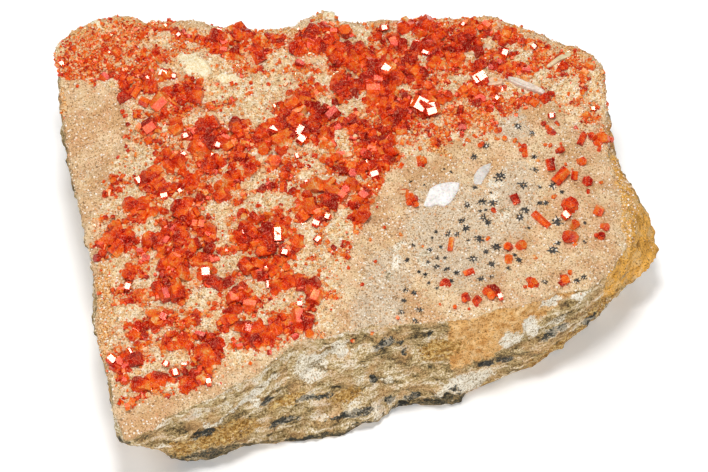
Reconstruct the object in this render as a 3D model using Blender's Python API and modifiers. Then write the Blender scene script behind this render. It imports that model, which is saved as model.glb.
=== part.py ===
"""Vanadinite on matrix: a slab of foliated rock with orange-red hexagonal crystals on its upper face.

+X runs along the slab's width, +Y from the broken front to the back, +Z up. The slab rests on a flat
face at z = 0, and the origin is at the middle of its box, on that face.
"""

import math
import random

import bmesh
import bpy
from mathutils import Matrix, Vector, noise
from mathutils.bvhtree import BVHTree

MM = 0.001
TINY = 1e-9
NAME = "vanadinite_on_matrix"

# ---------------------------------------------------------------------------------------------------
# Driving dimensions, in millimetres and degrees
# ---------------------------------------------------------------------------------------------------

CENTRE_HEIGHT = 27.0
VOXEL = 1.2
ROCK_TRIANGLES = 5200
FOOT_WASTE = -1.5
CONTACT_GAP = 0.3
LOFT_STEPS = 240
TOP_RINGS = (0.95, 0.85, 0.7, 0.5, 0.25)

# Upper edge of the slab, (x, y, z), counter-clockwise from the tip of the front left lobe.
TOP_EDGE = (
    (-42.0, -44.8, 19.5),
    (-34.5, -41.0, 21.5),
    (-25.3, -36.6, 23.5),
    (-17.4, -31.9, 25.5),
    (-10.0, -27.5, 27.0),
    (-3.0, -24.6, 27.0),
    (3.5, -23.0, 27.0),
    (10.0, -22.1, 27.0),
    (17.6, -21.9, 26.5),
    (25.0, -19.3, 26.0),
    (33.0, -16.4, 25.0),
    (41.0, -13.4, 24.0),
    (46.0, -9.3, 23.5),
    (49.3, -4.8, 23.5),
    (49.0, 1.5, 23.5),
    (49.2, 8.0, 24.0),
    (47.4, 14.5, 24.5),
    (46.8, 22.0, 25.0),
    (46.4, 30.0, 25.5),
    (45.6, 36.3, 26.0),
    (42.0, 39.8, 26.0),
    (35.5, 42.6, 26.3),
    (28.0, 45.4, 26.5),
    (17.0, 46.9, 27.5),
    (6.0, 46.2, 27.2),
    (0.0, 44.8, 27.0),
    (-5.0, 46.0, 27.8),
    (-8.5, 45.4, 27.8),
    (-12.0, 43.4, 27.0),
    (-17.0, 42.8, 27.0),
    (-28.0, 44.6, 27.5),
    (-38.0, 45.3, 27.5),
    (-44.0, 45.9, 28.0),
    (-50.6, 43.6, 28.0),
    (-55.6, 40.6, 27.5),
    (-55.6, 31.5, 26.5),
    (-54.3, 22.0, 25.0),
    (-51.8, 12.9, 24.6),
    (-50.6, 7.5, 24.4),
    (-50.3, 2.0, 24.2),
    (-49.2, -4.0, 24.0),
    (-48.4, -9.0, 23.8),
    (-48.0, -14.5, 23.5),
    (-48.9, -19.7, 23.0),
    (-47.6, -25.0, 22.5),
    (-45.6, -32.0, 21.8),
    (-44.6, -38.0, 21.0),
)

# The side wall half way down. It is undercut below the left edge and the lobe, steps out again at the front
# block, and flares out on the right under a bevelled rim.
BELLY = (
    (-42.4, -41.6, 16.0),
    (-40.5, -41.3, 15.2),
    (-37.5, -40.2, 14.6),
    (-34.6, -39.4, 14.2),
    (-33.4, -38.0, 9.5),
    (-32.6, -37.2, 5.0),
    (-29.5, -36.8, 5.0),
    (-25.5, -36.0, 8.0),
    (-17.4, -32.9, 9.0),
    (-10.0, -29.5, 9.0),
    (-3.0, -27.5, 10.0),
    (3.3, -25.5, 11.0),
    (10.0, -23.5, 10.0),
    (17.8, -22.8, 10.0),
    (25.4, -20.0, 9.0),
    (33.4, -16.8, 9.0),
    (41.6, -12.6, 10.0),
    (47.9, -7.0, 11.0),
    (53.0, -1.5, 12.0),
    (55.6, 7.5, 12.0),
    (53.4, 11.8, 14.0),
    (49.6, 17.5, 17.0),
    (47.6, 23.5, 16.0),
    (45.8, 29.5, 16.0),
    (45.6, 36.6, 15.0),
    (36.0, 43.5, 14.0),
    (17.0, 46.6, 13.0),
    (-1.0, 44.8, 14.0),
    (-28.0, 44.9, 13.0),
    (-44.0, 46.0, 14.0),
    (-53.8, 40.0, 14.0),
    (-52.4, 22.0, 13.0),
    (-48.2, 0.0, 13.0),
    (-46.4, -20.0, 14.0),
    (-44.0, -35.0, 15.0),
)

# The face that it rests on, at z = 0.
FOOT = (
    (-39.0, -27.5),
    (-34.6, -27.5),
    (-33.0, -31.5),
    (-31.3, -35.0),
    (-25.5, -33.8),
    (-17.5, -32.0),
    (-10.0, -30.4),
    (-2.9, -29.5),
    (3.0, -26.6),
    (9.7, -23.2),
    (17.6, -22.1),
    (25.4, -17.9),
    (33.0, -12.9),
    (40.0, -6.0),
    (44.5, -1.0),
    (48.5, 3.0),
    (50.5, 9.0),
    (46.0, 19.0),
    (43.0, 33.0),
    (35.0, 40.0),
    (17.0, 43.0),
    (-28.0, 42.0),
    (-44.0, 43.0),
    (-50.5, 37.0),
    (-48.5, 20.0),
    (-45.0, 0.0),
    (-42.5, -20.0),
)

# The shallow groove in the upper face: its two ends, half its width and its depth.
GROOVE_START = (25.0, 12.0)
GROOVE_END = (9.0, -17.0)
GROOVE_HALF_WIDTH = 5.0
GROOVE_DEPTH = 1.4

# The hollow beside the left edge: centre, half its width along X and Y, and depth.
HOLLOW_CENTRE = (-46.0, 19.0)
HOLLOW_HALF_WIDTH = (7.0, 9.0)
HOLLOW_DEPTH = 2.0

# Low ledges across the upper face, and the foliation of the broken front.
LEDGE_SPACING = 6.4
LEDGE_HEIGHT = 0.55
LEDGE_SWAY = 2.2
LEDGE_SWAY_SIZE = (16.0, 33.0)
LEDGE_RISER = 0.15
LEDGE_RIGHT_END = 24.0
LEDGE_FADE = 22.0
FOLIATION_SLOPE = 29.0
FOLIATION_SPACING = 3.6
FOLIATION_LENGTH = 20.0
FOLIATION_WIDTH = 10.0
FOLIATION_DEPTH = 1.1

# Roughness of the whole rock: size of the bumps and their height.
BUMPS = ((13.0, 1.1), (4.5, 0.55))

# How upright a normal is on the upper face, and how flat it lies on a wall: from none of it to all of it.
UPPER_FACE = (0.5, 0.85)
WALL = (0.75, 0.35)

# Places on the upper face are given as (across, up) in millimetres on a plane that faces a viewer in front
# of the slab, who looks down at this angle. The crystal sits where the line of sight meets the rock.
SIGHT_ANGLE = 55.0

# How far a single crystal's middle rises from the rock, as a share of its length and of its width, and how
# far it is spun about its own axis for each millimetre of width, in degrees.
SINGLE_RISE = 0.3
SPIN_PER_WIDTH = 40.0

# Crystals of a cluster: size and length as shares, lean and rise of the central one and of those round it.
MEMBER_SIZE = (0.6, 0.9)
MEMBER_LENGTH = (0.6, 1.0)
MEMBER_HEADING_SWAY = 0.2
CENTRAL_LEAN = (5.0, 30.0)
OUTER_LEAN = (35.0, 75.0)
CENTRAL_RISE = 0.34
OUTER_RISE = (0.12, 0.3)
OUTER_REACH = (0.47, 0.6)

STONE_COLOUR = (0.62, 0.47, 0.31)
CRYSTAL_COLOUR = (0.75, 0.06, 0.01)

# Single crystals: across, up, width of the hexagon, length of the prism, heading of its axis in plan and
# how far the axis leans from the rock's normal (90 lies flat).
SINGLE_CRYSTALS = (
    ("prism_large", 37.7, 7.7, 2.2, 3.4, 50.0, 78.0),
    ("prism_long", 34.0, -0.2, 1.5, 3.9, -43.0, 88.0),
    ("prism_upright", 31.3, 12.4, 1.2, 2.6, 95.0, 80.0),
    ("prism_rim", 41.7, 14.6, 1.3, 2.5, 70.0, 82.0),
    ("prism_groove", 17.6, -4.8, 1.1, 2.7, 82.0, 84.0),
    ("prism_low", 20.7, -9.9, 1.3, 2.0, 20.0, 80.0),
    ("crystal_01", 40.1, -1.3, 1.8, 1.4, 30.0, 25.0),
    ("crystal_02", 39.3, -3.7, 2.4, 2.2, 200.0, 50.0),
    ("crystal_03", 35.7, 9.7, 1.7, 2.2, 110.0, 62.0),
    ("crystal_04", 37.7, 12.6, 1.3, 1.4, 10.0, 40.0),
    ("crystal_05", 41.5, 10.4, 1.7, 1.4, 300.0, 30.0),
    ("crystal_06", 40.3, 7.9, 1.4, 1.6, 90.0, 50.0),
    ("crystal_07", 42.5, 6.8, 2.1, 1.1, 250.0, 22.0),
    ("crystal_08", 44.6, 1.3, 2.0, 1.5, 60.0, 35.0),
    ("crystal_09", 45.6, -1.5, 1.5, 1.3, 330.0, 40.0),
    ("crystal_10", 29.3, 3.5, 1.6, 1.9, 120.0, 58.0),
    ("crystal_11", 28.0, -5.3, 1.6, 1.4, 210.0, 30.0),
    ("crystal_12", 30.2, -5.1, 1.9, 1.5, 350.0, 25.0),
    ("crystal_13", 28.0, -7.5, 1.6, 1.3, 80.0, 28.0),
    ("crystal_14", 20.1, -14.4, 1.5, 1.4, 140.0, 35.0),
    ("crystal_15", 22.1, -14.9, 1.5, 1.3, 40.0, 42.0),
    ("crystal_16", 36.2, 15.9, 1.4, 1.4, 180.0, 45.0),
)

# Clusters: across, up, width of the largest crystal, how many crystals, and how far they spread.
CLUSTERS = (
    ("rosette_right", 39.3, 2.6, 2.3, 6, 1.5),
    ("pair_rim", 45.0, -3.2, 1.5, 2, 0.7),
    ("pair_groove", 16.4, -12.0, 1.6, 3, 1.0),
    ("cluster_low_01", 24.9, -13.3, 2.0, 5, 1.5),
    ("cluster_low_02", 32.2, -11.7, 1.6, 4, 1.3),
    ("cluster_low_03", 38.1, -11.3, 1.7, 4, 1.2),
    ("cluster_edge", 45.4, 14.6, 2.2, 4, 1.4),
    ("cluster_orange", 10.2, 3.6, 1.8, 4, 1.3),
    ("cluster_red", 12.1, 10.6, 1.7, 4, 1.3),
    ("cluster_back_01", 13.2, 20.5, 3.4, 5, 2.0),
    ("cluster_back_02", 5.6, 26.9, 3.0, 5, 2.0),
    ("cluster_back_03", -1.0, 29.5, 2.7, 5, 1.8),
    ("cluster_back_04", 22.7, 25.4, 2.6, 4, 1.7),
    ("cluster_back_05", 3.4, 21.8, 2.7, 5, 1.8),
    ("cluster_back_06", -4.6, 33.0, 2.4, 4, 1.7),
    ("cluster_back_07", 15.5, 34.2, 2.3, 4, 1.6),
    ("cluster_back_08", 38.6, 28.0, 2.0, 4, 1.5),
    ("cluster_back_09", -35.3, 26.2, 2.3, 4, 1.6),
    ("cluster_middle_01", -27.5, 16.3, 2.9, 5, 1.9),
    ("cluster_middle_02", -16.5, 15.6, 2.7, 5, 1.9),
    ("cluster_middle_03", -11.9, 17.4, 2.5, 4, 1.7),
    ("cluster_middle_04", -36.6, 8.2, 2.5, 4, 1.8),
    ("cluster_middle_05", -30.2, 7.3, 2.7, 4, 1.8),
    ("cluster_middle_06", -14.6, 10.1, 2.5, 4, 1.7),
    ("cluster_middle_07", -1.0, 5.5, 2.6, 4, 1.8),
    ("cluster_middle_08", 3.7, 9.1, 2.2, 4, 1.6),
    ("cluster_middle_09", -38.4, 2.4, 2.6, 4, 1.8),
    ("cluster_middle_10", -14.1, -3.3, 2.9, 5, 1.9),
    ("cluster_middle_11", -32.0, -3.5, 2.8, 5, 1.9),
    ("cluster_middle_12", -42.2, -3.8, 2.5, 4, 1.7),
    ("cluster_front_01", -27.0, -9.8, 2.7, 4, 1.8),
    ("cluster_front_02", -12.2, -12.0, 2.5, 4, 1.7),
    ("cluster_front_03", -36.0, -19.3, 2.6, 4, 1.7),
    ("cluster_front_04", -17.0, -20.0, 2.9, 5, 1.9),
    ("cluster_front_05", -27.5, -24.4, 2.8, 5, 1.9),
    ("cluster_front_06", -31.0, -30.0, 2.3, 4, 1.6),
    ("cluster_front_07", -42.3, -26.5, 2.2, 4, 1.5),
)


# ---------------------------------------------------------------------------------------------------
# Helpers
# ---------------------------------------------------------------------------------------------------


def clear_scene():
    for item in list(bpy.data.objects):
        bpy.data.objects.remove(item, do_unlink=True)


def new_collection(name):
    collection = bpy.data.collections.new(name)
    bpy.context.scene.collection.children.link(collection)
    return collection


def material(name, colour, roughness):
    found = bpy.data.materials.new(name)
    found.use_nodes = True
    shader = found.node_tree.nodes["Principled BSDF"]
    shader.inputs["Base Color"].default_value = (*colour, 1.0)
    shader.inputs["Roughness"].default_value = roughness
    shader.inputs["Metallic"].default_value = 0.0
    return found


def add_object(name, mesh, collection, look=None):
    item = bpy.data.objects.new(name, mesh)
    collection.objects.link(item)
    if look is not None:
        mesh.materials.clear()
        mesh.materials.append(look)
    return item


def mesh_from(bm, name):
    mesh = bpy.data.meshes.new(name)
    bm.to_mesh(mesh)
    bm.free()
    return mesh


def evaluated_mesh(item):
    """The object's mesh with its modifiers applied."""
    graph = bpy.context.evaluated_depsgraph_get()
    graph.update()
    return bpy.data.meshes.new_from_object(item.evaluated_get(graph))


def apply_modifiers(item):
    mesh = evaluated_mesh(item)
    item.modifiers.clear()
    item.data = mesh
    return item


def hide_guide(item):
    item.hide_render = True
    item.display_type = "WIRE"


def boolean(item, other, operation):
    cut = item.modifiers.new(operation.title(), "BOOLEAN")
    cut.operation = operation
    cut.solver = "EXACT"
    cut.object = other
    return cut


def smooth_step(value):
    value = min(max(value, 0.0), 1.0)
    return value * value * (3.0 - 2.0 * value)


# ---------------------------------------------------------------------------------------------------
# The matrix: three sections lofted, remeshed evenly, then given its relief
# ---------------------------------------------------------------------------------------------------


def crossing(outline, angle):
    """Where a line from the centre at this angle crosses a closed outline, with the height there."""
    way = Vector((math.cos(angle), math.sin(angle)))
    best = None
    for start, end in zip(outline, outline[1:] + outline[:1]):
        first = Vector(start[:2])
        side = Vector(end[:2]) - first
        turn = way.x * side.y - way.y * side.x
        if abs(turn) < TINY:
            continue
        reach = (first.x * side.y - first.y * side.x) / turn
        share = (first.x * way.y - first.y * way.x) / turn
        if reach > 0.0 and -TINY <= share <= 1.0 + TINY:
            if best is None or reach > best[0]:
                height = start[2] + (end[2] - start[2]) * share if len(start) == 3 else FOOT_WASTE
                best = (reach, height)
    reach, height = best
    return Vector((way.x * reach, way.y * reach, height))


def loft_rings():
    """Rings from the foot up the wall and in over the upper face, in millimetres."""
    angles = [2.0 * math.pi * step / LOFT_STEPS for step in range(LOFT_STEPS)]
    foot = [crossing(FOOT, angle) for angle in angles]
    belly = [crossing(BELLY, angle) for angle in angles]
    edge = [crossing(TOP_EDGE, angle) for angle in angles]
    rings = [foot, belly, edge]
    for share in TOP_RINGS:
        ring = []
        for point in edge:
            height = CENTRE_HEIGHT + (point.z - CENTRE_HEIGHT) * share * share
            ring.append(Vector((point.x * share, point.y * share, height)))
        rings.append(ring)
    return rings


def loft_mesh():
    bm = bmesh.new()
    rows = [[bm.verts.new(point * MM) for point in ring] for ring in loft_rings()]
    for low, high in zip(rows, rows[1:]):
        for here in range(LOFT_STEPS):
            there = (here + 1) % LOFT_STEPS
            bm.faces.new((low[here], low[there], high[there], high[here]))
    bm.faces.new(reversed(rows[0]))
    middle = bm.verts.new(Vector((0.0, 0.0, CENTRE_HEIGHT)) * MM)
    for here in range(LOFT_STEPS):
        bm.faces.new((rows[-1][here], rows[-1][(here + 1) % LOFT_STEPS], middle))
    return mesh_from(bm, "matrix_loft")


def groove(x, y):
    start, end = Vector(GROOVE_START), Vector(GROOVE_END)
    run = end - start
    share = min(max((Vector((x, y)) - start).dot(run) / run.length_squared, 0.0), 1.0)
    away = (Vector((x, y)) - (start + run * share)).length / GROOVE_HALF_WIDTH
    return GROOVE_DEPTH * math.exp(-away * away)


def hollow(x, y):
    away_x = (x - HOLLOW_CENTRE[0]) / HOLLOW_HALF_WIDTH[0]
    away_y = (y - HOLLOW_CENTRE[1]) / HOLLOW_HALF_WIDTH[1]
    return HOLLOW_DEPTH * math.exp(-away_x * away_x - away_y * away_y)


def ledges(x, y):
    """Wavy steps that climb gently to the back and drop sharply at their front edge."""
    size_x, size_y = LEDGE_SWAY_SIZE
    sway = LEDGE_SWAY * noise.noise(Vector((x / size_x, y / size_y, 3.0)))
    place = (y / LEDGE_SPACING + sway) % 1.0
    if place < LEDGE_RISER:
        height = 2.0 * place / LEDGE_RISER - 1.0
    else:
        height = 1.0 - 2.0 * (place - LEDGE_RISER) / (1.0 - LEDGE_RISER)
    return LEDGE_HEIGHT * smooth_step((LEDGE_RIGHT_END - x) / LEDGE_FADE) * height


def foliation(point):
    """Layers that run up to the right across the broken front."""
    slope = math.radians(FOLIATION_SLOPE)
    across = point.z * math.cos(slope) - point.x * math.sin(slope)
    along = point.x * math.cos(slope) + point.z * math.sin(slope)
    place = Vector((along / FOLIATION_LENGTH, point.y / FOLIATION_WIDTH, across / FOLIATION_SPACING))
    return FOLIATION_DEPTH * noise.noise(place)


def relief(point, normal):
    """How far a point of the rock moves, in millimetres."""
    shift = Vector()
    for size, height in BUMPS:
        shift += normal * (height * noise.noise(point / size))
    upward = smooth_step((normal.z - UPPER_FACE[0]) / (UPPER_FACE[1] - UPPER_FACE[0]))
    shift.z += upward * (ledges(point.x, point.y) - groove(point.x, point.y) - hollow(point.x, point.y))
    wall = smooth_step((abs(normal.z) - WALL[0]) / (WALL[1] - WALL[0]))
    shift += normal * (wall * foliation(point))
    return shift


def shape_rock(item):
    mesh = item.data
    bm = bmesh.new()
    bm.from_mesh(mesh)
    bm.normal_update()
    moves = [relief(vert.co / MM, vert.normal) * MM for vert in bm.verts]
    for vert, move in zip(bm.verts, moves):
        vert.co += move
    bm.to_mesh(mesh)
    bm.free()


def box_centre(mesh):
    low = [min(vert.co[axis] for vert in mesh.vertices) for axis in range(2)]
    high = [max(vert.co[axis] for vert in mesh.vertices) for axis in range(2)]
    return Vector(((low[0] + high[0]) / 2.0, (low[1] + high[1]) / 2.0, 0.0))


def make_matrix(parts, cutters, look):
    rock = add_object("matrix", loft_mesh(), parts, look)
    remesh = rock.modifiers.new("Even", "REMESH")
    remesh.mode = "VOXEL"
    remesh.voxel_size = VOXEL * MM
    apply_modifiers(rock)
    shape_rock(rock)
    shift = -box_centre(rock.data)
    rock.data.transform(Matrix.Translation(shift))
    fewer = rock.modifiers.new("Fewer", "DECIMATE")
    fewer.ratio = ROCK_TRIANGLES / (2.0 * len(rock.data.polygons))
    fewer.use_collapse_triangulate = True
    apply_modifiers(rock)

    saw = bmesh.new()
    bmesh.ops.create_cube(saw, size=1.0)
    block = add_object("foot_saw", mesh_from(saw, "foot_saw"), cutters)
    block.data.transform(Matrix.Translation((0.0, 0.0, -0.5)))
    hide_guide(block)
    boolean(rock, block, "DIFFERENCE")
    apply_modifiers(rock)
    return rock, shift


# ---------------------------------------------------------------------------------------------------
# The crystals
# ---------------------------------------------------------------------------------------------------


class Ground:
    """The rock's surface, and where a line of sight meets it."""

    def __init__(self, rock, shift):
        bm = bmesh.new()
        bm.from_mesh(rock.data)
        self.tree = BVHTree.FromBMesh(bm)
        bm.free()
        angle = math.radians(SIGHT_ANGLE)
        self.up = Vector((0.0, math.sin(angle), math.cos(angle)))
        self.away = Vector((0.0, math.cos(angle), -math.sin(angle)))
        self.middle = Vector((0.0, 0.0, CENTRE_HEIGHT * MM)) + shift

    def seat(self, across, up):
        start = self.middle + (Vector((across, 0.0, 0.0)) + self.up * up) * MM - self.away
        place, normal, _, _ = self.tree.ray_cast(start, self.away)
        if place is None:
            raise ValueError(f"no rock at across {across}, up {up}")
        return place, normal


def prism(width, length):
    """A hexagonal prism along Z, centred on the origin; the width is across its corners."""
    bm = bmesh.new()
    bmesh.ops.create_cone(
        bm,
        cap_ends=True,
        segments=6,
        radius1=width / 2.0 * MM,
        radius2=width / 2.0 * MM,
        depth=length * MM,
    )
    return bm


def stand(normal, heading, lean, spin):
    """Turns Z to an axis that leans from the rock's normal towards a heading in plan."""
    side = Vector((math.cos(heading), math.sin(heading), 0.0))
    side = (side - normal * side.dot(normal)).normalized()
    axis = normal * math.cos(lean) + side * math.sin(lean)
    return axis.to_track_quat("Z", "Y").to_matrix().to_4x4() @ Matrix.Rotation(spin, 4, "Z")


def largest_piece(item):
    """Drops crumbs that a cut has left loose."""
    bm = bmesh.new()
    bm.from_mesh(item.data)
    unseen = set(bm.verts)
    pieces = []
    while unseen:
        queue = [unseen.pop()]
        piece = set(queue)
        while queue:
            for edge in queue.pop().link_edges:
                for vert in edge.verts:
                    if vert in unseen:
                        unseen.discard(vert)
                        piece.add(vert)
                        queue.append(vert)
        pieces.append(piece)
    pieces.sort(key=len, reverse=True)
    crumbs = [vert for piece in pieces[1:] for vert in piece]
    bmesh.ops.delete(bm, geom=crumbs, context="VERTS")
    bm.to_mesh(item.data)
    bm.free()


def rock_clearance(rock, cutters):
    """The rock grown by the contact gap, which trims the foot of each crystal."""
    grown = add_object("rock_clearance", rock.data.copy(), cutters)
    swell = grown.modifiers.new("Grow", "DISPLACE")
    swell.strength = CONTACT_GAP * MM
    swell.mid_level = 0.0
    apply_modifiers(grown)
    hide_guide(grown)
    return grown


def trim_to_rock(crystal, clearance):
    boolean(crystal, clearance, "DIFFERENCE")
    apply_modifiers(crystal)
    largest_piece(crystal)


def make_single(row, ground, clearance, parts, look):
    name, across, up, width, length, heading, lean = row
    place, normal = ground.seat(across, up)
    lean = math.radians(lean)
    mesh = mesh_from(prism(width, length), name)
    rise = SINGLE_RISE * (length * math.cos(lean) + width * math.sin(lean))
    turn = stand(normal, math.radians(heading), lean, math.radians(width * SPIN_PER_WIDTH))
    mesh.transform(Matrix.Translation(place + normal * rise * MM) @ turn)
    crystal = add_object(name, mesh, parts, look)
    trim_to_rock(crystal, clearance)
    return crystal


def make_cluster(row, ground, clearance, parts, cutters, look):
    name, across, up, width, count, spread = row
    rng = random.Random(name)
    place, normal = ground.seat(across, up)
    cluster = None
    for member in range(count):
        central = member == 0
        size = width * (1.0 if central else rng.uniform(*MEMBER_SIZE))
        length = size * rng.uniform(*MEMBER_LENGTH)
        sway = rng.uniform(-MEMBER_HEADING_SWAY, MEMBER_HEADING_SWAY)
        heading = 2.0 * math.pi * (member + sway) / max(count - 1, 1)
        lean = math.radians(rng.uniform(*(CENTRAL_LEAN if central else OUTER_LEAN)))
        away = 0.0 if central else spread * rng.uniform(*OUTER_REACH)
        aside = Vector((math.cos(heading), math.sin(heading), 0.0))
        aside = (aside - normal * aside.dot(normal)).normalized() * away
        rise = size * (CENTRAL_RISE if central else rng.uniform(*OUTER_RISE))
        turn = stand(normal, heading, lean, rng.uniform(0.0, math.pi / 3.0))
        mesh = mesh_from(prism(size, length), name)
        mesh.transform(Matrix.Translation(place + (aside + normal * rise) * MM) @ turn)
        if cluster is None:
            cluster = add_object(name, mesh, parts, look)
            continue
        other = add_object(name + "_member", mesh, cutters)
        hide_guide(other)
        boolean(cluster, other, "UNION")
        apply_modifiers(cluster)
        bpy.data.objects.remove(other, do_unlink=True)
    trim_to_rock(cluster, clearance)
    return cluster


def main():
    clear_scene()
    parts = new_collection(NAME)
    cutters = new_collection("cutters")
    stone = material("matrix_stone", STONE_COLOUR, 0.9)
    crystal = material("vanadinite", CRYSTAL_COLOUR, 0.12)

    rock, shift = make_matrix(parts, cutters, stone)
    clearance = rock_clearance(rock, cutters)
    ground = Ground(rock, shift)
    for row in SINGLE_CRYSTALS:
        make_single(row, ground, clearance, parts, crystal)
    for row in CLUSTERS:
        make_cluster(row, ground, clearance, parts, cutters, crystal)


main()
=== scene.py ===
"""Vanadinite on matrix: the finish of the specimen, laid out as an add-on and run as a script.

The rock gets its fine relief and its mineral colours, the crystals their adamantine finish, and Geometry
Nodes grow the crust of small crystals, the sugary grains and the black sprays on the rock.
"""

import math
import random

import bmesh
import bpy
import numpy as np
from bpy.props import FloatProperty, FloatVectorProperty, IntProperty, PointerProperty
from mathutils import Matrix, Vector, noise
from mathutils.bvhtree import BVHTree


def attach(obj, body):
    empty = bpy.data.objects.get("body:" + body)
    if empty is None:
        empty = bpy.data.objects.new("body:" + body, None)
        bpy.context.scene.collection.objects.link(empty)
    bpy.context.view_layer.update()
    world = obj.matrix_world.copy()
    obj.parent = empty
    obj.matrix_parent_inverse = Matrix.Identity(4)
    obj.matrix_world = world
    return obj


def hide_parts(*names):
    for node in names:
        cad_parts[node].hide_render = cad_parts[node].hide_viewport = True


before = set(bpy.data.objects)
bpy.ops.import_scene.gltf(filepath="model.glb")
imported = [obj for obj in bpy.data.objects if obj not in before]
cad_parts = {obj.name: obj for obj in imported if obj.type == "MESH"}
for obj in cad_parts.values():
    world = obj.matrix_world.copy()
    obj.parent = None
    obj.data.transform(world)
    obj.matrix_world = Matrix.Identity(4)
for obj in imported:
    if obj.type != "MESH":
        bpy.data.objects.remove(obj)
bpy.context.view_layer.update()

bl_info = {
    "name": "Vanadinite on matrix",
    "version": (1, 0, 0),
    "blender": (4, 5, 0),
    "location": "3D View > Sidebar > Specimen",
    "description": "Finishes a specimen of vanadinite crystals on a slab of rock",
    "category": "Object",
}

MM = 0.001

# ---------------------------------------------------------------------------------------------------
# The sight grid: a plane that faces a viewer who stands in front of the slab and looks down at it. A place is
# a column and a row of the grid, counted from its upper left corner in steps of GRID_STEP, and it means the
# point where the line of sight through that place meets the specimen. Lengths here are in millimetres.
# ---------------------------------------------------------------------------------------------------

SIGHT_ANGLE = math.radians(55.0)
SIGHT_UP = Vector((0.0, math.sin(SIGHT_ANGLE), math.cos(SIGHT_ANGLE)))
SIGHT_AWAY = Vector((0.0, math.cos(SIGHT_ANGLE), -math.sin(SIGHT_ANGLE)))
SIGHT_TARGET = Vector((-0.1, -4.4, 25.3))
VIEW_DISTANCE = 1440.0
VIEWER = SIGHT_TARGET - SIGHT_AWAY * VIEW_DISTANCE
GRID_STEP = 0.183
GRID_CENTRE = (354.0, 236.0)

# Outline of the crystal-bearing crust, as (column, row).
CRUST_OUTLINE = (
    (50, 52), (66, 42), (84, 33), (100, 26), (112, 21), (130, 24), (145, 25), (165, 22), (176, 27), (200, 29),
    (220, 28), (235, 30), (260, 33), (283, 33), (300, 32), (315, 28), (325, 22), (340, 30), (360, 31),
    (380, 24), (400, 19), (441, 12), (468, 14), (495, 20), (522, 34), (545, 45), (566, 56), (584, 57),
    (596, 67), (602, 80), (606, 100), (600, 128), (585, 142), (570, 118), (545, 104), (520, 106), (506, 118),
    (496, 134), (470, 138), (440, 148), (408, 158), (385, 180), (374, 203), (362, 222), (352, 246),
    (340, 285), (334, 326), (300, 340), (270, 356), (226, 376), (205, 388), (165, 400), (125, 408),
    (110, 385), (108, 345), (110, 300), (96, 262), (94, 222), (106, 188), (110, 165), (128, 150), (126, 120),
    (120, 96), (90, 85), (50, 80),
)

# The patches that follow are ellipses: column, row, half width, half height and, where it isn't level, the
# slope in degrees.

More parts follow.
